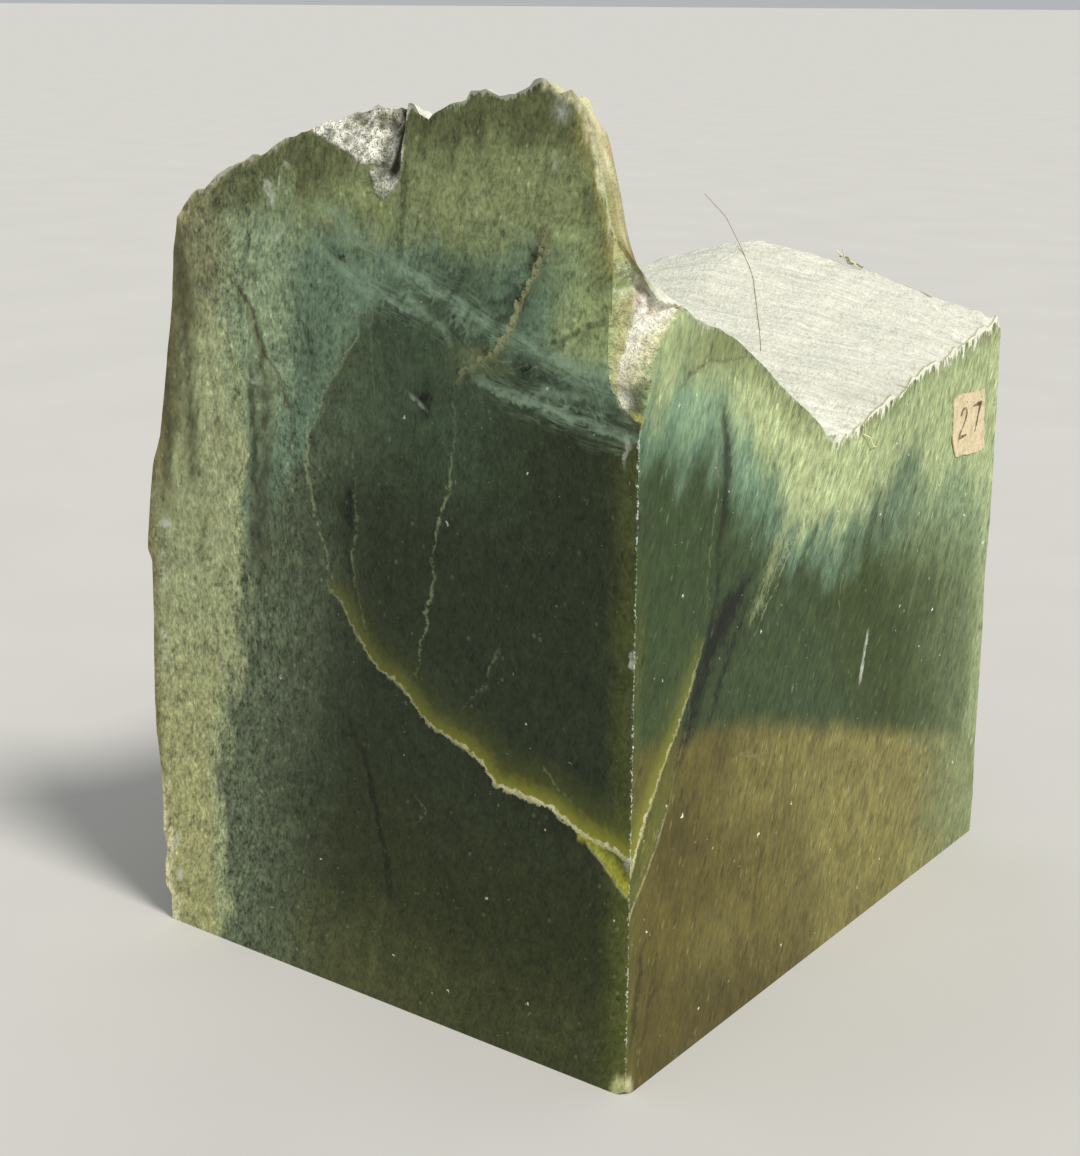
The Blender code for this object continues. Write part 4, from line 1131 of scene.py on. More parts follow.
def add_lines(board, place, colour, c):
    """Lay stains, cracks, the fissure, the vein and the scuffs over a sawn colour; also their relief.
    Painted light among them: shadow beside the fissure's ridge, shade under the vein, and glow in part of
    the vein's stain.
    """

    def trace(name, **settings):
        return board.group("stone_trace", trace=board.attribute(name), place=place, **settings).outputs

    def lay(under, share, amount, over):
        return board.mix(board.math("MULTIPLY", share, amount), under, over)

    dark = trace("dark", width=0.3, ragged=0.8, soft=0.6, stain=2.2, gaps=0.45, wander=2.4)
    colour = lay(colour, board.math("MULTIPLY", dark["Line"], 1.5, clamp=True), 0.8,
                 board.times(colour, 0.36))
    colour = lay(colour, dark["Left stain"], 0.25, board.times(colour, 0.6))
    pale = trace("pale", width=0.07, ragged=1.0, soft=0.32, stain=1.6, gaps=1.0, wander=3.0)
    colour = lay(colour, pale["Line"], 0.55, colour4(c["rind"] * 1.1))
    cracks = trace("cracks", width=0.1, ragged=0.6, soft=0.35, stain=1.4, gaps=0.5, wander=2.0)
    colour = lay(colour, cracks["Left stain"], 0.3, colour4(c["tan"] * 0.5))
    colour = lay(colour, cracks["Line"], 0.7, colour4(c["crack"]))

    fissure = trace("fissure", width=0.24, ragged=1.5, soft=0.35, stain=1.8, gaps=0.65)
    colour = lay(colour, fissure["Right stain"], 0.35, colour4(c["ridge"] * 0.5))
    # Painted shadow: dark brown blotches beside the fissure's raised ridge, on the side away from the right
    # face.
    ridge_shadow = board.math("MULTIPLY", fissure["Left stain"],
                       board.rise(board.noise(place, 0.9, 3.0, 0.6), 0.48, 0.56))
    colour = lay(colour, ridge_shadow, 0.9, colour4(c["crack"] * 0.6))
    colour = lay(colour, fissure["Line"], 0.85, colour4(c["ridge"]))

    wedge = trace("wedges", width=0.1, ragged=0.4, soft=0.3, stain=2.0, gaps=0.7)
    vein = trace("veins", width=0.2, ragged=1.1, soft=0.3, stain=3.4, gaps=0.6)
    wide = trace("veins", width=0.1, ragged=1.6, soft=0.4, stain=8.0, gaps=0.0)
    # The olive and yellow stains above the vein are partly real stain and partly painted glow of light
    # coming through the stone.
    colour = lay(colour, wide["Left stain"], 0.6, colour4(c["vein_olive"]))
    colour = lay(colour, vein["Left stain"], 0.8, colour4(c["yellow"] * 0.85))
    # Painted shade: a dark band under the vein line.
    colour = lay(colour, vein["Right stain"], 0.4, board.times(colour, 0.5))
    colour = lay(colour, wedge["Line"], 0.45, colour4(c["cream"] * 0.6))
    colour = lay(colour, vein["Line"], 0.85, colour4(c["cream"] * 0.9))

    scuff = trace("scuffs", width=0.26, ragged=0.6, soft=0.4, stain=2.0, gaps=0.6)
    colour = lay(colour, scuff["Line"], 0.8, colour4(c["frost"]))
    relief = board.math("SUBTRACT", vein["Line"], board.math("MULTIPLY", cracks["Line"], 1.5))
    relief = board.math("MULTIPLY_ADD", fissure["Line"], 0.8, relief)
    return colour, relief


def add_nicks(board, place, colour, c):
    """Dot the sharp arris with tiny pale chips, and set pale teeth under the broken top edge, with painted
    shade between them.
    """
    x, y, z = board.parts(place)
    from_right = board.math("SUBTRACT", float(RIGHT), x)
    from_front = board.math("SUBTRACT", y, float(FRONT))
    apart = board.math("MAXIMUM", from_right, from_front)
    bite = board.math("MULTIPLY", board.rise(board.noise(place, 2.3, 3.0, 0.7), 0.44, 0.76), 0.48)
    nick = board.rise(board.math("SUBTRACT", bite, apart), 0.0, 0.14)
    nick = board.math("MULTIPLY", nick, board.rise(board.noise(place, 0.3, 2.0), 0.35, 0.6, 0.4, 1.0))
    nick = board.math("MULTIPLY", nick, board.math("LESS_THAN", z, 92.0))
    colour = board.mix(board.math("MULTIPLY", nick, 0.85), colour, colour4(c["frost"] * 1.15))
    below, reach, whiteness = board.parts(board.attribute("rim"))
    upright = board.add("CombineXYZ", {0: board.math("ADD", x, y),
                                       2: board.math("MULTIPLY", z, 0.22)}).outputs[0]
    spikes = board.noise(upright, 0.7, 5.0, 0.8, 0.8)
    reach = board.math("MULTIPLY", reach, board.rise(board.noise(place, 0.16, 2.0), 0.35, 0.65, 0.6, 1.7))
    # Painted shade in the gaps between the teeth: the colour is darkened to half there.
    gap = board.math("MULTIPLY", reach, board.rise(spikes, 0.38, 0.5, 1.6, 0.0))
    hollow = board.rise(board.math("SUBTRACT", below, gap), -0.3, 0.4, 1.0, 0.0)
    colour = board.mix(board.math("MULTIPLY", hollow, 0.5), colour, board.times(colour, 0.5))
    depth = board.math("MULTIPLY", reach, board.rise(spikes, 0.46, 0.66, 0.05, 1.3))
    tooth = board.rise(board.math("SUBTRACT", below, depth), -0.1, 0.15, 1.0, 0.0)
    return board.mix(board.math("MULTIPLY", tooth, whiteness), colour, colour4(c["sugar"]))


def broken_colour(board, place, size, mottle, grit, pit):
    """Sugary broken look over the tone that the mesh carries: its colour and its relief.

    Mottle is how much lighter and darker its lumps are, grit is how deep its pits are, and pit is
    the colour in them. Where both are strong, as in the spall, the dark is partly painted shade.
    """
    tone = board.attribute("broken_tone", "Color")
    crumbs = board.group("stone_crumbs", place=place, size=size)
    colour = board.times(tone,
                         board.math("MAXIMUM", board.shift(1.0, crumbs.outputs["Cloud"], mottle), 0.3))
    brown = board.math("MULTIPLY", board.rise(crumbs.outputs["Light"], 0.05, 0.5, 1.0, 0.0), grit)
    colour = board.mix(brown, colour, colour4(pit))
    return colour, crumbs.outputs["Height"]


def make_sawn_material(c):
    """Jade, sawn and rubbed smooth, with its markings, and broken looks inside the spall and the chip."""
    material, board, shader = start_material("jade_sawn", 0.36, 0.15)
    place = board.place()
    grain = board.attribute("grain")
    felt = board.group("stone_felt", grain=grain, width=0.4, stretch=4.0)
    colour = board.times(board.attribute("sawn_tone", "Color"), felt.outputs["Shade"])
    clouds = board.noise(place, 0.28, 5.0, 0.65)
    colour = board.times(colour, board.shift(1.0, clouds, 0.8))
    colour = add_patches(board, place, felt.outputs["Fine"], colour, c)
    colour = add_flecks(board, place, grain, colour, c)
    colour = add_wisps(board, place, colour, c)
    colour, relief = add_lines(board, place, colour, c)
    colour = add_nicks(board, place, colour, c)
    # On the spall the mottle and the dark pits are stronger, partly as painted shade among the grains.
    on_spall = board.math("LESS_THAN", board.parts(place)[0], float(RIGHT) - 25.0)
    grit = board.math("MULTIPLY_ADD", on_spall, 0.4, 0.5)
    mottle = board.math("MULTIPLY_ADD", on_spall, 1.2, 2.2)
    crumbly, crumb_height = broken_colour(board, place, 0.8, mottle, grit, c["tan"] * 0.25)
    inside = board.shift(board.attribute("broken", "Fac"), board.noise(place, 1.0, 3.0, 0.6), 0.9)
    share = board.rise(inside, -0.2, 0.35)
    colour = board.mix(share, colour, crumbly)
    dull = board.math("MULTIPLY_ADD", felt.outputs["Fine"], 0.14, 0.28)
    dull = board.math("MULTIPLY_ADD", share, 0.35, dull)
    height = board.math("MULTIPLY_ADD", relief, 0.6, board.math("MULTIPLY", felt.outputs["Fine"], 0.2))
    height = board.math("MULTIPLY_ADD", board.math("MULTIPLY", share, crumb_height), 4.0, height)
    finish_surface(board, shader, colour, dull, height, 0.0001)
    return material


def make_broken_material(c):
    """Crumbly broken top with brushed streaks."""
    material, board, shader = start_material("jade_broken", 0.75, 0.2)
    place = board.place()
    colour, height = broken_colour(board, place, 1.0, 0.6, 0.12, c["tan"] * 0.55)
    x, y, _ = board.parts(place)
    across = board.math("MULTIPLY_ADD", x, -0.2, y)
    drawn = board.add("CombineXYZ", {0: board.math("DIVIDE", x, 9.0),
                                     1: board.math("DIVIDE", across, 0.7)}).outputs[0]
    brushed = board.noise(drawn, 1.0, 4.0, 0.6, 0.3)
    colour = board.times(colour, board.rise(brushed, 0.3, 0.7, 0.92, 1.16))
    marks = board.group("stone_flecks", place=drawn, size=1.6, share=0.06, reach=0.3)
    colour = board.mix(board.math("MULTIPLY", marks.outputs["Mask"], 0.6), colour, colour4(c["olive"]))
    dull = board.rise(brushed, 0.3, 0.7, 0.8, 0.55)
    finish_surface(board, shader, colour, dull, board.math("MULTIPLY_ADD", brushed, 0.6, height), 0.0005)
    return material


def make_skin_material(c):
    """Weathered outside: waxy, pitted, stained brown, with green showing through."""
    material, board, shader = start_material("jade_skin", 0.55, 0.25)
    place = board.place()
    tone = board.attribute("broken_tone", "Color")
    crumbs = board.group("stone_crumbs", place=place, size=2.4)
    colour = board.mix(board.rise(crumbs.outputs["Light"], 0.2, 1.0, 0.35, 0.0), tone,
                       colour4(c["deep_olive"]))
    stain = board.rise(board.noise(place, 0.09, 6.0, 0.7), 0.46, 0.72, 0.0, 0.4)
    colour = board.mix(stain, colour, colour4(c["rust"] * 0.6))
    pits = board.group("stone_flecks", place=place, size=2.1, share=0.16, reach=0.35)
    colour = board.mix(board.math("MULTIPLY", pits.outputs["Mask"], 0.35), colour, colour4(c["crack"]))
    dull = board.rise(crumbs.outputs["Light"], 0.0, 1.0, 0.7, 0.42)
    finish_surface(board, shader, colour, dull, crumbs.outputs["Height"], 0.0006)
    return material


def make_paper_material(c):
    """Old gummed paper: warm fibres, brown specks, grey worn patches and pen strokes."""
    material, board, shader = start_material("label_paper", 0.9, 0.2)
    place = board.place()
    blotch = board.noise(place, 0.5, 4.0, 0.6)
    colour = board.mix(board.rise(blotch, 0.45, 0.7, 0.0, 0.5), colour4(c["paper"]), colour4(c["tan"]))
    fibre = board.noise(place, 3.5, 3.0, 0.6)
    colour = board.mix(board.rise(fibre, 0.4, 0.7, 0.0, 0.35), colour, colour4(c["rust"]))
    specks = board.group("stone_flecks", place=place, size=0.9, share=0.12, reach=0.25)
    colour = board.mix(board.math("MULTIPLY", specks.outputs["Mask"], 0.5), colour, colour4(c["crack"]))
    pen = board.group("stone_trace", trace=board.attribute("pen"), place=place, width=0.2, ragged=0.12,
                      soft=0.12, stain=0.6, gaps=0.3).outputs
    colour = board.mix(board.math("MULTIPLY", pen["Line"], 0.85), colour, colour4(c["crack"] * 0.6))
    dull = board.rise(fibre, 0.0, 1.0, 0.95, 0.8)
    finish_surface(board, shader, colour, dull, fibre, 0.00006)
    return material


def make_plain_material(name, colour, roughness):
    """Quiet surface with a faint unevenness, for the floor and for dust."""
    material, board, shader = start_material(name, roughness, 0.2)
    uneven = board.noise(board.place(), 0.02, 2.0)
    darker = tuple(float(part) * 0.97 for part in colour[:3]) + (1.0,)
    shade = board.mix(board.rise(uneven, 0.3, 0.7), colour4(colour[:3]), darker)
    board.tree.links.new(shade, shader.inputs["Base Color"])
    return material


# --- meshes ---------------------------------------------------------------------------------------
def mesh_object(name, points, faces, materials, patch=None):
    """New object at the origin from points in millimetres and faces of any size."""
    mesh = bpy.data.meshes.new(name)
    mesh.from_pydata((points * MM).tolist(), [], faces)
    if patch is not None:
        mesh.polygons.foreach_set("material_index", np.asarray(patch, dtype=np.int32))
    for material in materials:
        mesh.materials.append(material)
    mesh.shade_smooth()
    made = bpy.data.objects.new(name, mesh)
    bpy.context.scene.collection.objects.link(made)
    return made


def carry(mesh, name, values, domain="POINT"):
    """Store one number or three numbers for each point, or each face corner, of a mesh."""
    if values.ndim == 1:
        mesh.attributes.new(name, "FLOAT", domain).data.foreach_set("value", values.astype(np.float32))
    else:
        stored = mesh.attributes.new(name, "FLOAT_VECTOR", domain)
        stored.data.foreach_set("vector", values.astype(np.float32).ravel())


def settle(piece, node=None):
    """Hand a finished piece to the frame: it rides on the body and may stand for one node of it."""
    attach(piece, "root")
    if node:
        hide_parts(node)


# --- the block ------------------------------------------------------------------------------------
FRONT_LINES = {
    "veins": (VEIN_FRONT,), "wedges": (WEDGE_FRONT,), "fissure": (FISSURE,), "cracks": CRACKS_FRONT,
    "pale": PALE_FRONT, "dark": DARK_FRONT, "scuffs": SCUFFS_FRONT, "streaks": STREAKS, "wisps": WISPS,
}
RIGHT_LINES = {
    "veins": (VEIN_RIGHT,), "wedges": (WEDGE_RIGHT,), "cracks": CRACKS_RIGHT, "pale": PALE_RIGHT,
    "dark": DARK_RIGHT, "scuffs": SCUFFS_RIGHT,
}


def patch_depth(p, q, lines):
    """How far inside the widest of these patches each place is, in millimetres; less than 0 outside."""
    fields = [line_field(p, q, line, 2.0) for line in lines]
    return np.max([life - np.abs(gap) for gap, _, life in fields], axis=0)


def front_values(a, z, c):
    """Everything the sawn front shows at these places: tone, grain, speckle, lines and broken areas.

    The fibres stand nearly upright. They show most in the cloudy upper part and beside the rind.
    """
    inside = a - curve(RIND_EDGE, z)
    above = smooth(-4, 4, z - curve(CORE_TOP, a))
    across = a + 0.12 * z + 2.5 * np.sin(z / 23)
    cloudy = np.clip(smooth(-24, -3, inside) + above, 0, 1)
    beside = smooth(-24, -3, inside) * smooth(3, 0, inside)
    contrast = 0.45 + 0.2 * cloudy + 0.25 * beside - 0.1 * above
    speckle = [0.10 + 0.30 * cloudy + 0.25 * beside, 0.08 + 0.25 * cloudy, 0.34 - 0.24 * cloudy]
    values = {name: near_lines(a, z, lines) for name, lines in FRONT_LINES.items()}
    values["sawn_tone"] = front_tone(a, z, c)
    values["patches"] = np.stack([patch_depth(a, z, lines)
                                  for lines in (INK_FRONT, RAY_FRONT, BROWN_FRONT)], axis=1)
    values["grain"] = np.stack([across * 0.8, z * 1.7, contrast], axis=1)
    values["speckle"] = np.stack(speckle, axis=1)
    values["rim"] = np.stack([curve(CREST, a) - z, 0.5 + 0 * a, 0.35 + 0 * a], axis=1)
    inner = line_field(a, z, CHIP_FRONT_OUTLINE, 0.1)[0]
    hollow = line_field(a, z, SPALL_OUTLINE, 0.1)[0]
    values["broken"] = np.maximum(np.where(z < 107.5, inner, -40), np.where(z > 105, hollow, -40))
    return values


def right_values(b, z, c):
    """Everything the sawn right face shows at these places.

    The fibres lean back, most of all in the middle of the face.
    """
    lean = 7.5 * np.exp(-((b - 60) / 26) ** 2) * np.tanh((z - 62) / 25)
    across = 300 + b - 0.3 * (z - 62) - lean
    contrast = 0.42 + 0.2 * smooth(10, 36, b)
    low = smooth(60, 40, z)
    contrast = contrast - 0.1 * low
    speckle = [0.2 + 0.1 * smooth(20, 50, b) + 0.15 * low, 0.3 + 0.1 * low, 0.14 + 0.1 * low]
    values = {name: near_lines(b, z, lines) for name, lines in RIGHT_LINES.items()}
    values["sawn_tone"] = right_tone(b, z, c)
    patches = [patch_depth(b, z, lines) for lines in (INK_RIGHT, RAY_RIGHT)] + [np.full(b.shape, -40.0)]
    values["patches"] = np.stack(patches, axis=1)
    values["grain"] = np.stack([across, z, contrast], axis=1)
    values["speckle"] = np.stack(speckle, axis=1)
    on_ledge = smooth(47, 50, b)
    edge = np.maximum(curve(WEDGE_EDGE, b), curve(LEDGE_EDGE, b))
    values["rim"] = np.stack([edge - z, 0.5 + 1.0 * on_ledge, 0.25 + 0.65 * on_ledge], axis=1)
    values["broken"] = np.where(b < 12, line_field(b, z, CHIP_RIGHT_OUTLINE, 0.1)[0], -40)
    return values


def stone_points(across, behind, up):
    """Lattice, places, and the side that each point shows: its own patch, or the front or right face
    where it lies on an arris."""
    lattice, quads, sides = cube_lattice(across, behind, up)
    u = curve(GRID_ACROSS, lattice[:, 0] / across) / BLOCK_WIDTH
    v = curve(GRID_BACK, lattice[:, 1] / behind) / BLOCK_DEPTH
    x, y, z = place(u, v, lattice[:, 2] / up)
    side = np.full(len(x), TOP_SIDE)
    for patch in (BACK_SIDE, LEFT_SIDE, FRONT_SIDE, RIGHT_SIDE):
        side[quads[sides == patch]] = patch
    return np.stack([x, y, z], axis=1), quads, sides, side


# Places of the stone's three materials
SAWN_PATCH, SKIN_PATCH, BROKEN_PATCH = range(3)


class JADE_OT_stone(bpy.types.Operator):
    """Build the fine stone: sawn front, right face and base, broken top and natural skins"""

    bl_idname = "jade.stone"
    bl_label = "Stone"

    def execute(self, context):
        sizes = context.scene.jade_sizes
        c = palette()
        points, quads, sides, side = stone_points(sizes.across, sizes.behind, sizes.up)
        x, y, z = points.T
        standing = sides != BASE_SIDE
        base_rim = base_outline(quads[~standing])
        sawn = (sides == RIGHT_SIDE) | (sides == FRONT_SIDE)
        skin = (sides == LEFT_SIDE) | (sides == BACK_SIDE)
        patch = np.select([sawn, skin], [SAWN_PATCH, SKIN_PATCH], BROKEN_PATCH)
        faces = quads[standing].tolist() + [base_rim]
        materials = [make_sawn_material(c), make_skin_material(c), make_broken_material(c)]
        patch = np.append(patch[standing], SAWN_PATCH)
        stone = mesh_object("raw_jade_stone", points, faces, materials, patch)
        carry(stone.data, "broken_tone", broken_tone(x, y, z, side, c))

        corner = np.append(quads[standing].ravel(), base_rim)
        facing = np.append(np.repeat(sides[standing], 4), np.full(len(base_rim), FRONT_SIDE))
        on_front, on_right = facing == FRONT_SIDE, facing == RIGHT_SIDE
        front, to_front = np.unique(corner[on_front], return_inverse=True)
        right, to_right = np.unique(corner[on_right], return_inverse=True)
        seen_front = front_values(RIGHT - x[front], z[front], c)
        seen_right = right_values(y[right] - FRONT, z[right], c)
        for name, values in seen_front.items():
            stored = np.zeros((len(corner),) + values.shape[1:])
            stored[on_front] = values[to_front.ravel()]
            if name in seen_right:
                stored[on_right] = seen_right[name][to_right.ravel()]
            carry(stone.data, name, stored, "CORNER")
        stone.data.set_sharp_from_angle(angle=math.radians(sizes.sharp))
        settle(stone, STONE_NODE)
        return {"FINISHED"}


def base_outline(quads):
    """The base as one face: its outer points in order, seen from below."""
    edges = np.concatenate([quads[:, [i, (i + 1) % 4]] for i in range(4)])
    key = np.sort(edges, axis=1)
    _, where, count = np.unique(key, axis=0, return_index=True, return_counts=True)
    rim = edges[where[count == 1]]
    following = dict(rim.tolist())
    ring = [int(rim[0, 0])]
    while following[ring[-1]] != ring[0]:
        ring.append(following[ring[-1]])
    return ring


# --- the label ------------------------------------------------------------------------------------
LABEL_TOP = ((86.2, 77.5), (87.6, 78.1), (89.6, 78.0), (93, 77.8), (97.1, 77.6))
LABEL_BOTTOM = ((86.5, 71.0), (88.2, 68.3), (91, 68.2), (95, 67.9), (98.6, 68.0))
LABEL_THICKNESS = 0.12
LABEL_WRINKLE = 0.08
PEN_STROKES = (
    ((88.9, 74.6), (89.6, 75.6), (90.7, 75.6), (91.1, 74.7), (90.4, 73.4), (89.2, 72), (88.8, 71.2),
     (91.6, 71.3)),
    ((93.2, 75.5), (96, 75.6), (95.2, 73.8), (94.4, 71.2)),
)


class JADE_OT_label(bpy.types.Operator):
    """Build the old paper label near the back of the right face"""

    bl_idname = "jade.label"
    bl_label = "Paper label"

    def execute(self, context):
        label = label_object(palette())
        settle(label, LABEL_NODE)
        return {"FINISHED"}


def label_object(c):
    """Thin wrinkled sheet: straight lines from its bottom edge to its top edge, with a front and a back.

    The front stands off by its thickness plus crossed waves, and lifts at the peeled corner; the
    back is flat on the stone. A ring of quads joins the two round the rim.
    """
    count = 64
    s, t = np.meshgrid(np.linspace(0, 1, count), np.linspace(0, 1, count), indexing="ij")
    ends = [np.array(line, dtype=float) for line in (LABEL_BOTTOM, LABEL_TOP)]
    marks = np.linspace(0, 1, len(LABEL_TOP))
    low, high = (np.stack([np.interp(s, marks, line[:, i]) for i in (0, 1)], axis=-1) for line in ends)
    flat = low + (high - low) * t[..., None]
    ragged = 0.14 * np.stack([grain(t * 14, t * 0 + 3, 5), grain(s * 12, s * 0 + 7, 6)], axis=-1)
    near_edge = smooth(0.12, 0, np.minimum(np.minimum(s, 1 - s), np.minimum(t, 1 - t)))
    flat = flat + ragged * near_edge[..., None]
    wrinkle = LABEL_WRINKLE * (0.5 + 0.5 * layered(flat[..., 0], flat[..., 1], 7, 2.2, 3))
    peel = 0.12 * smooth(0.35, 0, np.hypot(s, t)) + 0.05 * smooth(0.2, 0, np.hypot(1 - s, t))
    stone = RIGHT + 0.02
    front = np.stack([stone + LABEL_THICKNESS + wrinkle + peel, FRONT + flat[..., 0], flat[..., 1]],
                     axis=-1)
    back = front.copy()
    back[..., 0] = stone + 0.8 * peel
    points = np.concatenate([front.reshape(-1, 3), back.reshape(-1, 3)])
    number = np.arange(count * count).reshape(count, count)
    tiles = np.stack([number[:-1, :-1], number[1:, :-1], number[1:, 1:], number[:-1, 1:]],
                     axis=-1).reshape(-1, 4)
    rim = np.concatenate([number[:-1, 0], number[-1, :-1], number[:0:-1, -1], number[0, :0:-1]])
    ahead = np.roll(rim, -1)
    walls = np.stack([rim, rim + count ** 2, ahead + count ** 2, ahead], axis=1)
    faces = np.concatenate([tiles, tiles[:, ::-1] + count ** 2, walls])
    label = mesh_object("old_paper_label", points, faces.tolist(), [make_paper_material(c)])
    carry(label.data, "pen", near_lines(points[:, 1] - FRONT, points[:, 2], PEN_STROKES, 0.1))
    label.data.set_sharp_from_angle(angle=math.radians(50))
    return label


# --- lint -----------------------------------------------------------------------------------------
# Threads: points of (left of the right face, back from the front face, height)
HAIR = (
    (20.9, 63.7, 85.7), (24.2, 69, 87.2), (28.5, 75.3, 89.8), (33.1, 81.9, 93), (36.7, 86.1, 95.1),
    (41, 90.3, 97.6),
    (45, 92.6, 101.4), (49.4, 92.6, 105),
)
SHORT_THREAD = ((-0.15, 56.4, 77.5), (-0.5, 58, 76.8), (-0.5, 59.1, 75.3), (-0.15, 60.7, 74.9))
TUFTS = (
    ((23.6, 98.3, 94.2), (24.2, 98.4, 95), (25.4, 98.6, 95.2), (26.6, 98.2, 96.2), (27.4, 98, 96.8)),
    ((22.6, 98.4, 93.8), (23.6, 98.6, 94.8), (24.8, 98.2, 94.9), (25.4, 98.4, 95.8), (26.9, 98.3, 95.9)),
    ((24, 98.1, 94.4), (25.1, 98.5, 94.5), (25.9, 98.3, 95.6), (26.2, 98.3, 96.5), (26.3, 98.1, 97.2)),
)


class JADE_OT_lint(bpy.types.Operator):
    """Build the fine hair, the short thread and the wisp of lint that cling to the stone"""

    bl_idname = "jade.lint"
    bl_label = "Hair and thread"

    def execute(self, context):
        c = palette()
        pieces = (
            ("clinging_hair", HAIR, 0.05, c["tan"] * 0.7),
            ("clinging_thread", SHORT_THREAD, 0.09, c["cream"]),
            ("clinging_lint_1", TUFTS[0], 0.16, c["cream"] * 0.9),
            ("clinging_lint_2", TUFTS[1], 0.13, c["tan"] * 0.8),
            ("clinging_lint_3", TUFTS[2], 0.12, c["frost"]),
        )
        for name, path, radius, colour in pieces:
            made = thread_object(name, np.array(path), radius, make_plain_material(name, colour, 0.6))
            settle(made)
        return {"FINISHED"}


def thread_object(name, path, radius, material):
    """Fine round thread: a ring of six points carried along a curve through the path's points.

    The curve is C(t) = sum of the path's points, each weighted by a smooth bump around its place.
    """
    knots = np.arange(len(path))
    t = np.linspace(0, len(path) - 1, 16 * len(path))
    weight = np.exp(-((t[:, None] - knots) / 0.55) ** 2)
    spine = (weight / weight.sum(axis=1, keepdims=True)) @ path
    middle = np.stack([RIGHT - spine[:, 0], FRONT + spine[:, 1], spine[:, 2]], axis=1)
    resting = top_height(middle[:, 0], middle[:, 1]) + radius
    middle[:, 2] = np.where(spine[:, 0] > 0, np.maximum(middle[:, 2], resting), middle[:, 2])
    way = np.gradient(middle, axis=0)
    way = way / np.linalg.norm(way, axis=1, keepdims=True)
    side = np.cross(way, [0.3, 0.1, 0.95])
    side = side / np.linalg.norm(side, axis=1, keepdims=True)
    third = np.cross(way, side)
    turn = np.arange(6) * np.pi / 3
    ring = np.cos(turn)[None, :, None] * side[:, None] + np.sin(turn)[None, :, None] * third[:, None]
    points = (middle[:, None] + radius * ring).reshape(-1, 3)
    number = np.arange(len(points)).reshape(len(middle), 6)
    around = np.roll(number, -1, axis=1)
    tiles = np.stack([number[:-1], around[:-1], around[1:], number[1:]], axis=-1).reshape(-1, 4)
    faces = tiles.tolist() + [number[0, ::-1].tolist(), number[-1].tolist()]
    return mesh_object(name, points, faces, [material])


# --- the stage ------------------------------------------------------------------------------------
CAMERA_PLACE = (0.16257, -0.23492, 0.13536)
CAMERA_AZIMUTH = 36.4014
CAMERA_DOWN = 16.7185
CAMERA_ROLL = 0.3722
CAMERA_LENS = 60
SENSOR_WIDTH = 36
FLOOR_RADIUS = 40.0
FLOOR_COLOUR = (0.62, 0.61, 0.58)
WORLD_COLOUR = (0.94, 0.97, 1.0)
SUN_FROM = (0.62, -0.12, 0.78)
SUN_ANGLE = 15.0


def turned_to(back, place):
    """Placing matrix of a lamp whose back points this way."""
    back = np.array(back) / np.linalg.norm(back)
    side = np.cross([0, 0, 1], back)
    side = side / np.linalg.norm(side)
    turned = np.eye(4)
    turned[:3, 0], turned[:3, 1], turned[:3, 2], turned[:3, 3] = side, np.cross(back, side), back, place
    return Matrix(turned.tolist())


def camera_matrix():
    """Where the camera stands and how it is turned, from its azimuth, downward tilt and roll."""
    azimuth, down, roll = (math.radians(angle) for angle in (CAMERA_AZIMUTH, CAMERA_DOWN, CAMERA_ROLL))
    back = np.array([math.sin(azimuth) * math.cos(down), -math.cos(azimuth) * math.cos(down),
                     math.sin(down)])
    level = np.array([math.cos(azimuth), math.sin(azimuth), 0])
    up = np.cross(back, level)
    right = math.cos(roll) * level + math.sin(roll) * up
    above = -math.sin(roll) * level + math.cos(roll) * up
    turned = np.eye(4)
    turned[:3, 0], turned[:3, 1], turned[:3, 2], turned[:3, 3] = right, above, back, CAMERA_PLACE
    return Matrix(turned.tolist())


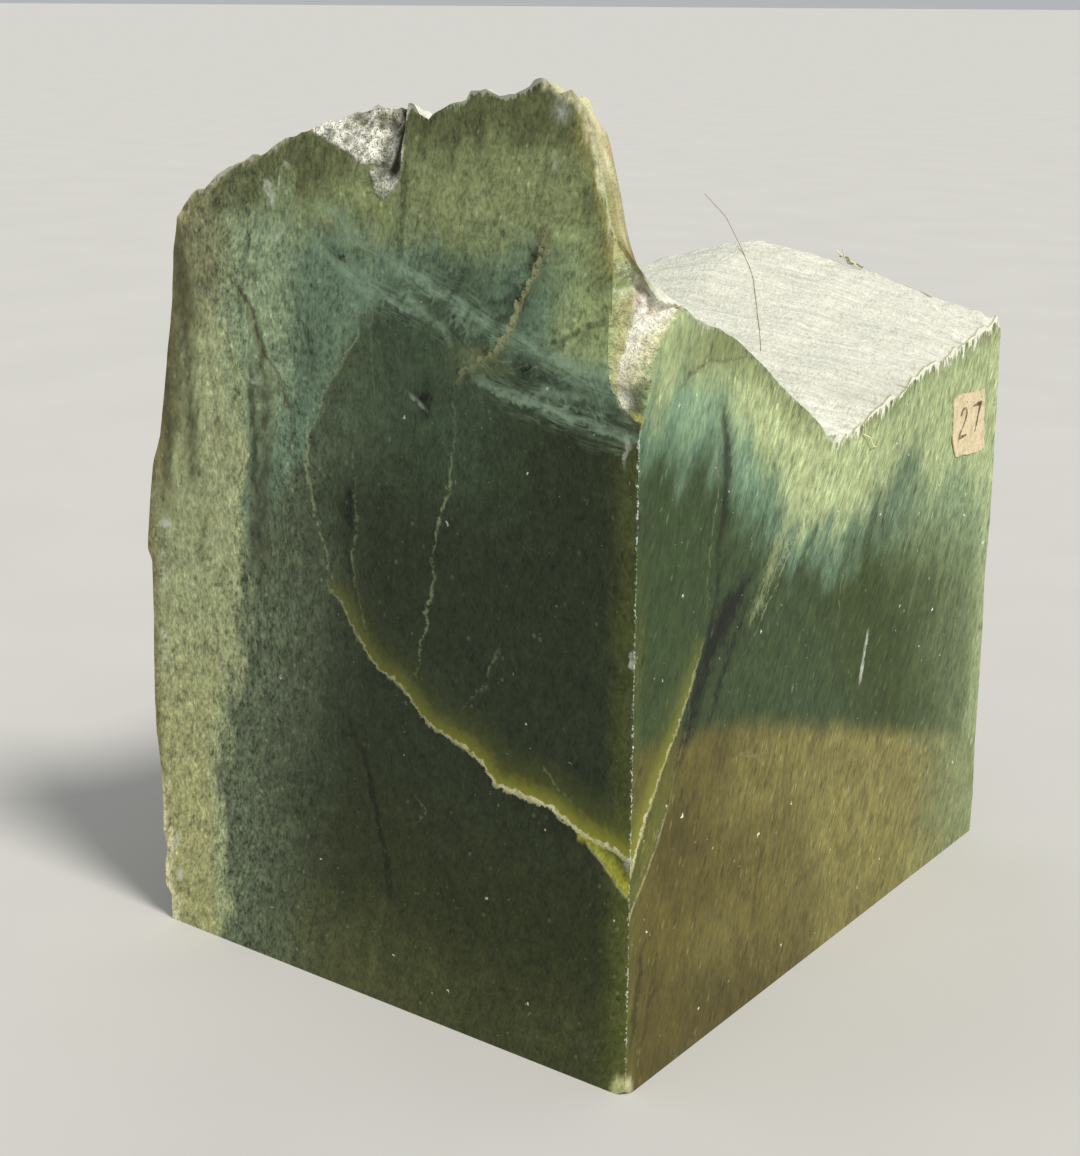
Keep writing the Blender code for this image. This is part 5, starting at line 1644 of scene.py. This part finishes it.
class JADE_OT_stage(bpy.types.Operator):
    """Build the pale floor, the soft light, the surrounding light and the camera"""

    bl_idname = "jade.stage"
    bl_label = "Stage"

    def execute(self, context):
        sizes = context.scene.jade_sizes
        angle = np.linspace(0, 2 * np.pi, 96, endpoint=False)
        rim = np.stack([FLOOR_RADIUS / MM * np.cos(angle), FLOOR_RADIUS / MM * np.sin(angle), 0 * angle],
                       axis=1)
        floor = mesh_object("floor", rim, [list(range(96))],
                            [make_plain_material("floor_paper", FLOOR_COLOUR, 0.9)])
        lamp = bpy.data.lights.new("soft_key", "SUN")
        lamp.energy = sizes.key
        lamp.angle = math.radians(SUN_ANGLE)
        lamp.color = (1.0, 0.97, 0.91)
        key = bpy.data.objects.new("soft_key", lamp)
        context.scene.collection.objects.link(key)
        key.matrix_world = turned_to(SUN_FROM, (0.6, -0.1, 0.8))
        world = bpy.data.worlds.new("studio")
        world.use_nodes = True
        world.node_tree.nodes["Background"].inputs["Color"].default_value = (*WORLD_COLOUR, 1)
        world.node_tree.nodes["Background"].inputs["Strength"].default_value = sizes.ambient
        context.scene.world = world
        context.scene.view_settings.view_transform = "Standard"
        lens = bpy.data.cameras.new("camera")
        lens.lens = CAMERA_LENS
        lens.sensor_width = SENSOR_WIDTH
        lens.clip_start = 0.01
        camera = bpy.data.objects.new("camera", lens)
        context.scene.collection.objects.link(camera)
        camera.matrix_world = camera_matrix()
        context.scene.camera = camera
        return {"FINISHED"}


# --- add-on ---------------------------------------------------------------------------------------
class JadeSizes(bpy.types.PropertyGroup):
    """Fineness of the stone's grid and strength of the stage's light."""

    across: IntProperty(name="Across", description="Grid divisions from left to right", default=118, min=8)
    behind: IntProperty(name="Back", description="Grid divisions from front to back", default=134, min=8)
    up: IntProperty(name="Up", description="Grid divisions from base to top", default=150, min=8)
    sharp: FloatProperty(name="Sharp angle", description="Edges bent more than this look sharp, in degrees",
                         default=38.0, min=0, max=180)
    key: FloatProperty(name="Key light", description="Strength of the key light", default=2.7, min=0)
    ambient: FloatProperty(name="Ambient", description="Strength of the light from all round", default=0.48,
                           min=0)


class JADE_PT_panel(bpy.types.Panel):
    """Sidebar panel with the sizes, the colours and a button for each piece"""

    bl_label = "Raw jade block"
    bl_idname = "JADE_PT_panel"
    bl_space_type = "VIEW_3D"
    bl_region_type = "UI"
    bl_category = "Jade"

    def draw(self, context):
        for operator in BUILD_ORDER:
            self.layout.operator(operator.bl_idname)
        for group in (context.scene.jade_sizes, context.scene.jade_colours):
            for name in type(group).__annotations__:
                self.layout.prop(group, name)


BUILD_ORDER = (JADE_OT_stage, JADE_OT_stone, JADE_OT_label, JADE_OT_lint)
CLASSES = (JadeSizes, JadeColours, *BUILD_ORDER, JADE_PT_panel)


def register():
    """Add the classes and their settings to Blender."""
    for cls in CLASSES:
        bpy.utils.register_class(cls)
    bpy.types.Scene.jade_sizes = PointerProperty(type=JadeSizes)
    bpy.types.Scene.jade_colours = PointerProperty(type=JadeColours)


def unregister():
    """Take the classes and their settings out again."""
    del bpy.types.Scene.jade_colours
    del bpy.types.Scene.jade_sizes
    for cls in reversed(CLASSES):
        bpy.utils.unregister_class(cls)


def main():
    """Register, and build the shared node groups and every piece."""
    register()
    make_felt_group()
    make_fleck_group()
    make_trace_group()
    make_crumb_group()
    bpy.ops.jade.stage()
    bpy.ops.jade.stone()
    bpy.ops.jade.label()
    bpy.ops.jade.lint()


if __name__ == "__main__":
    main()
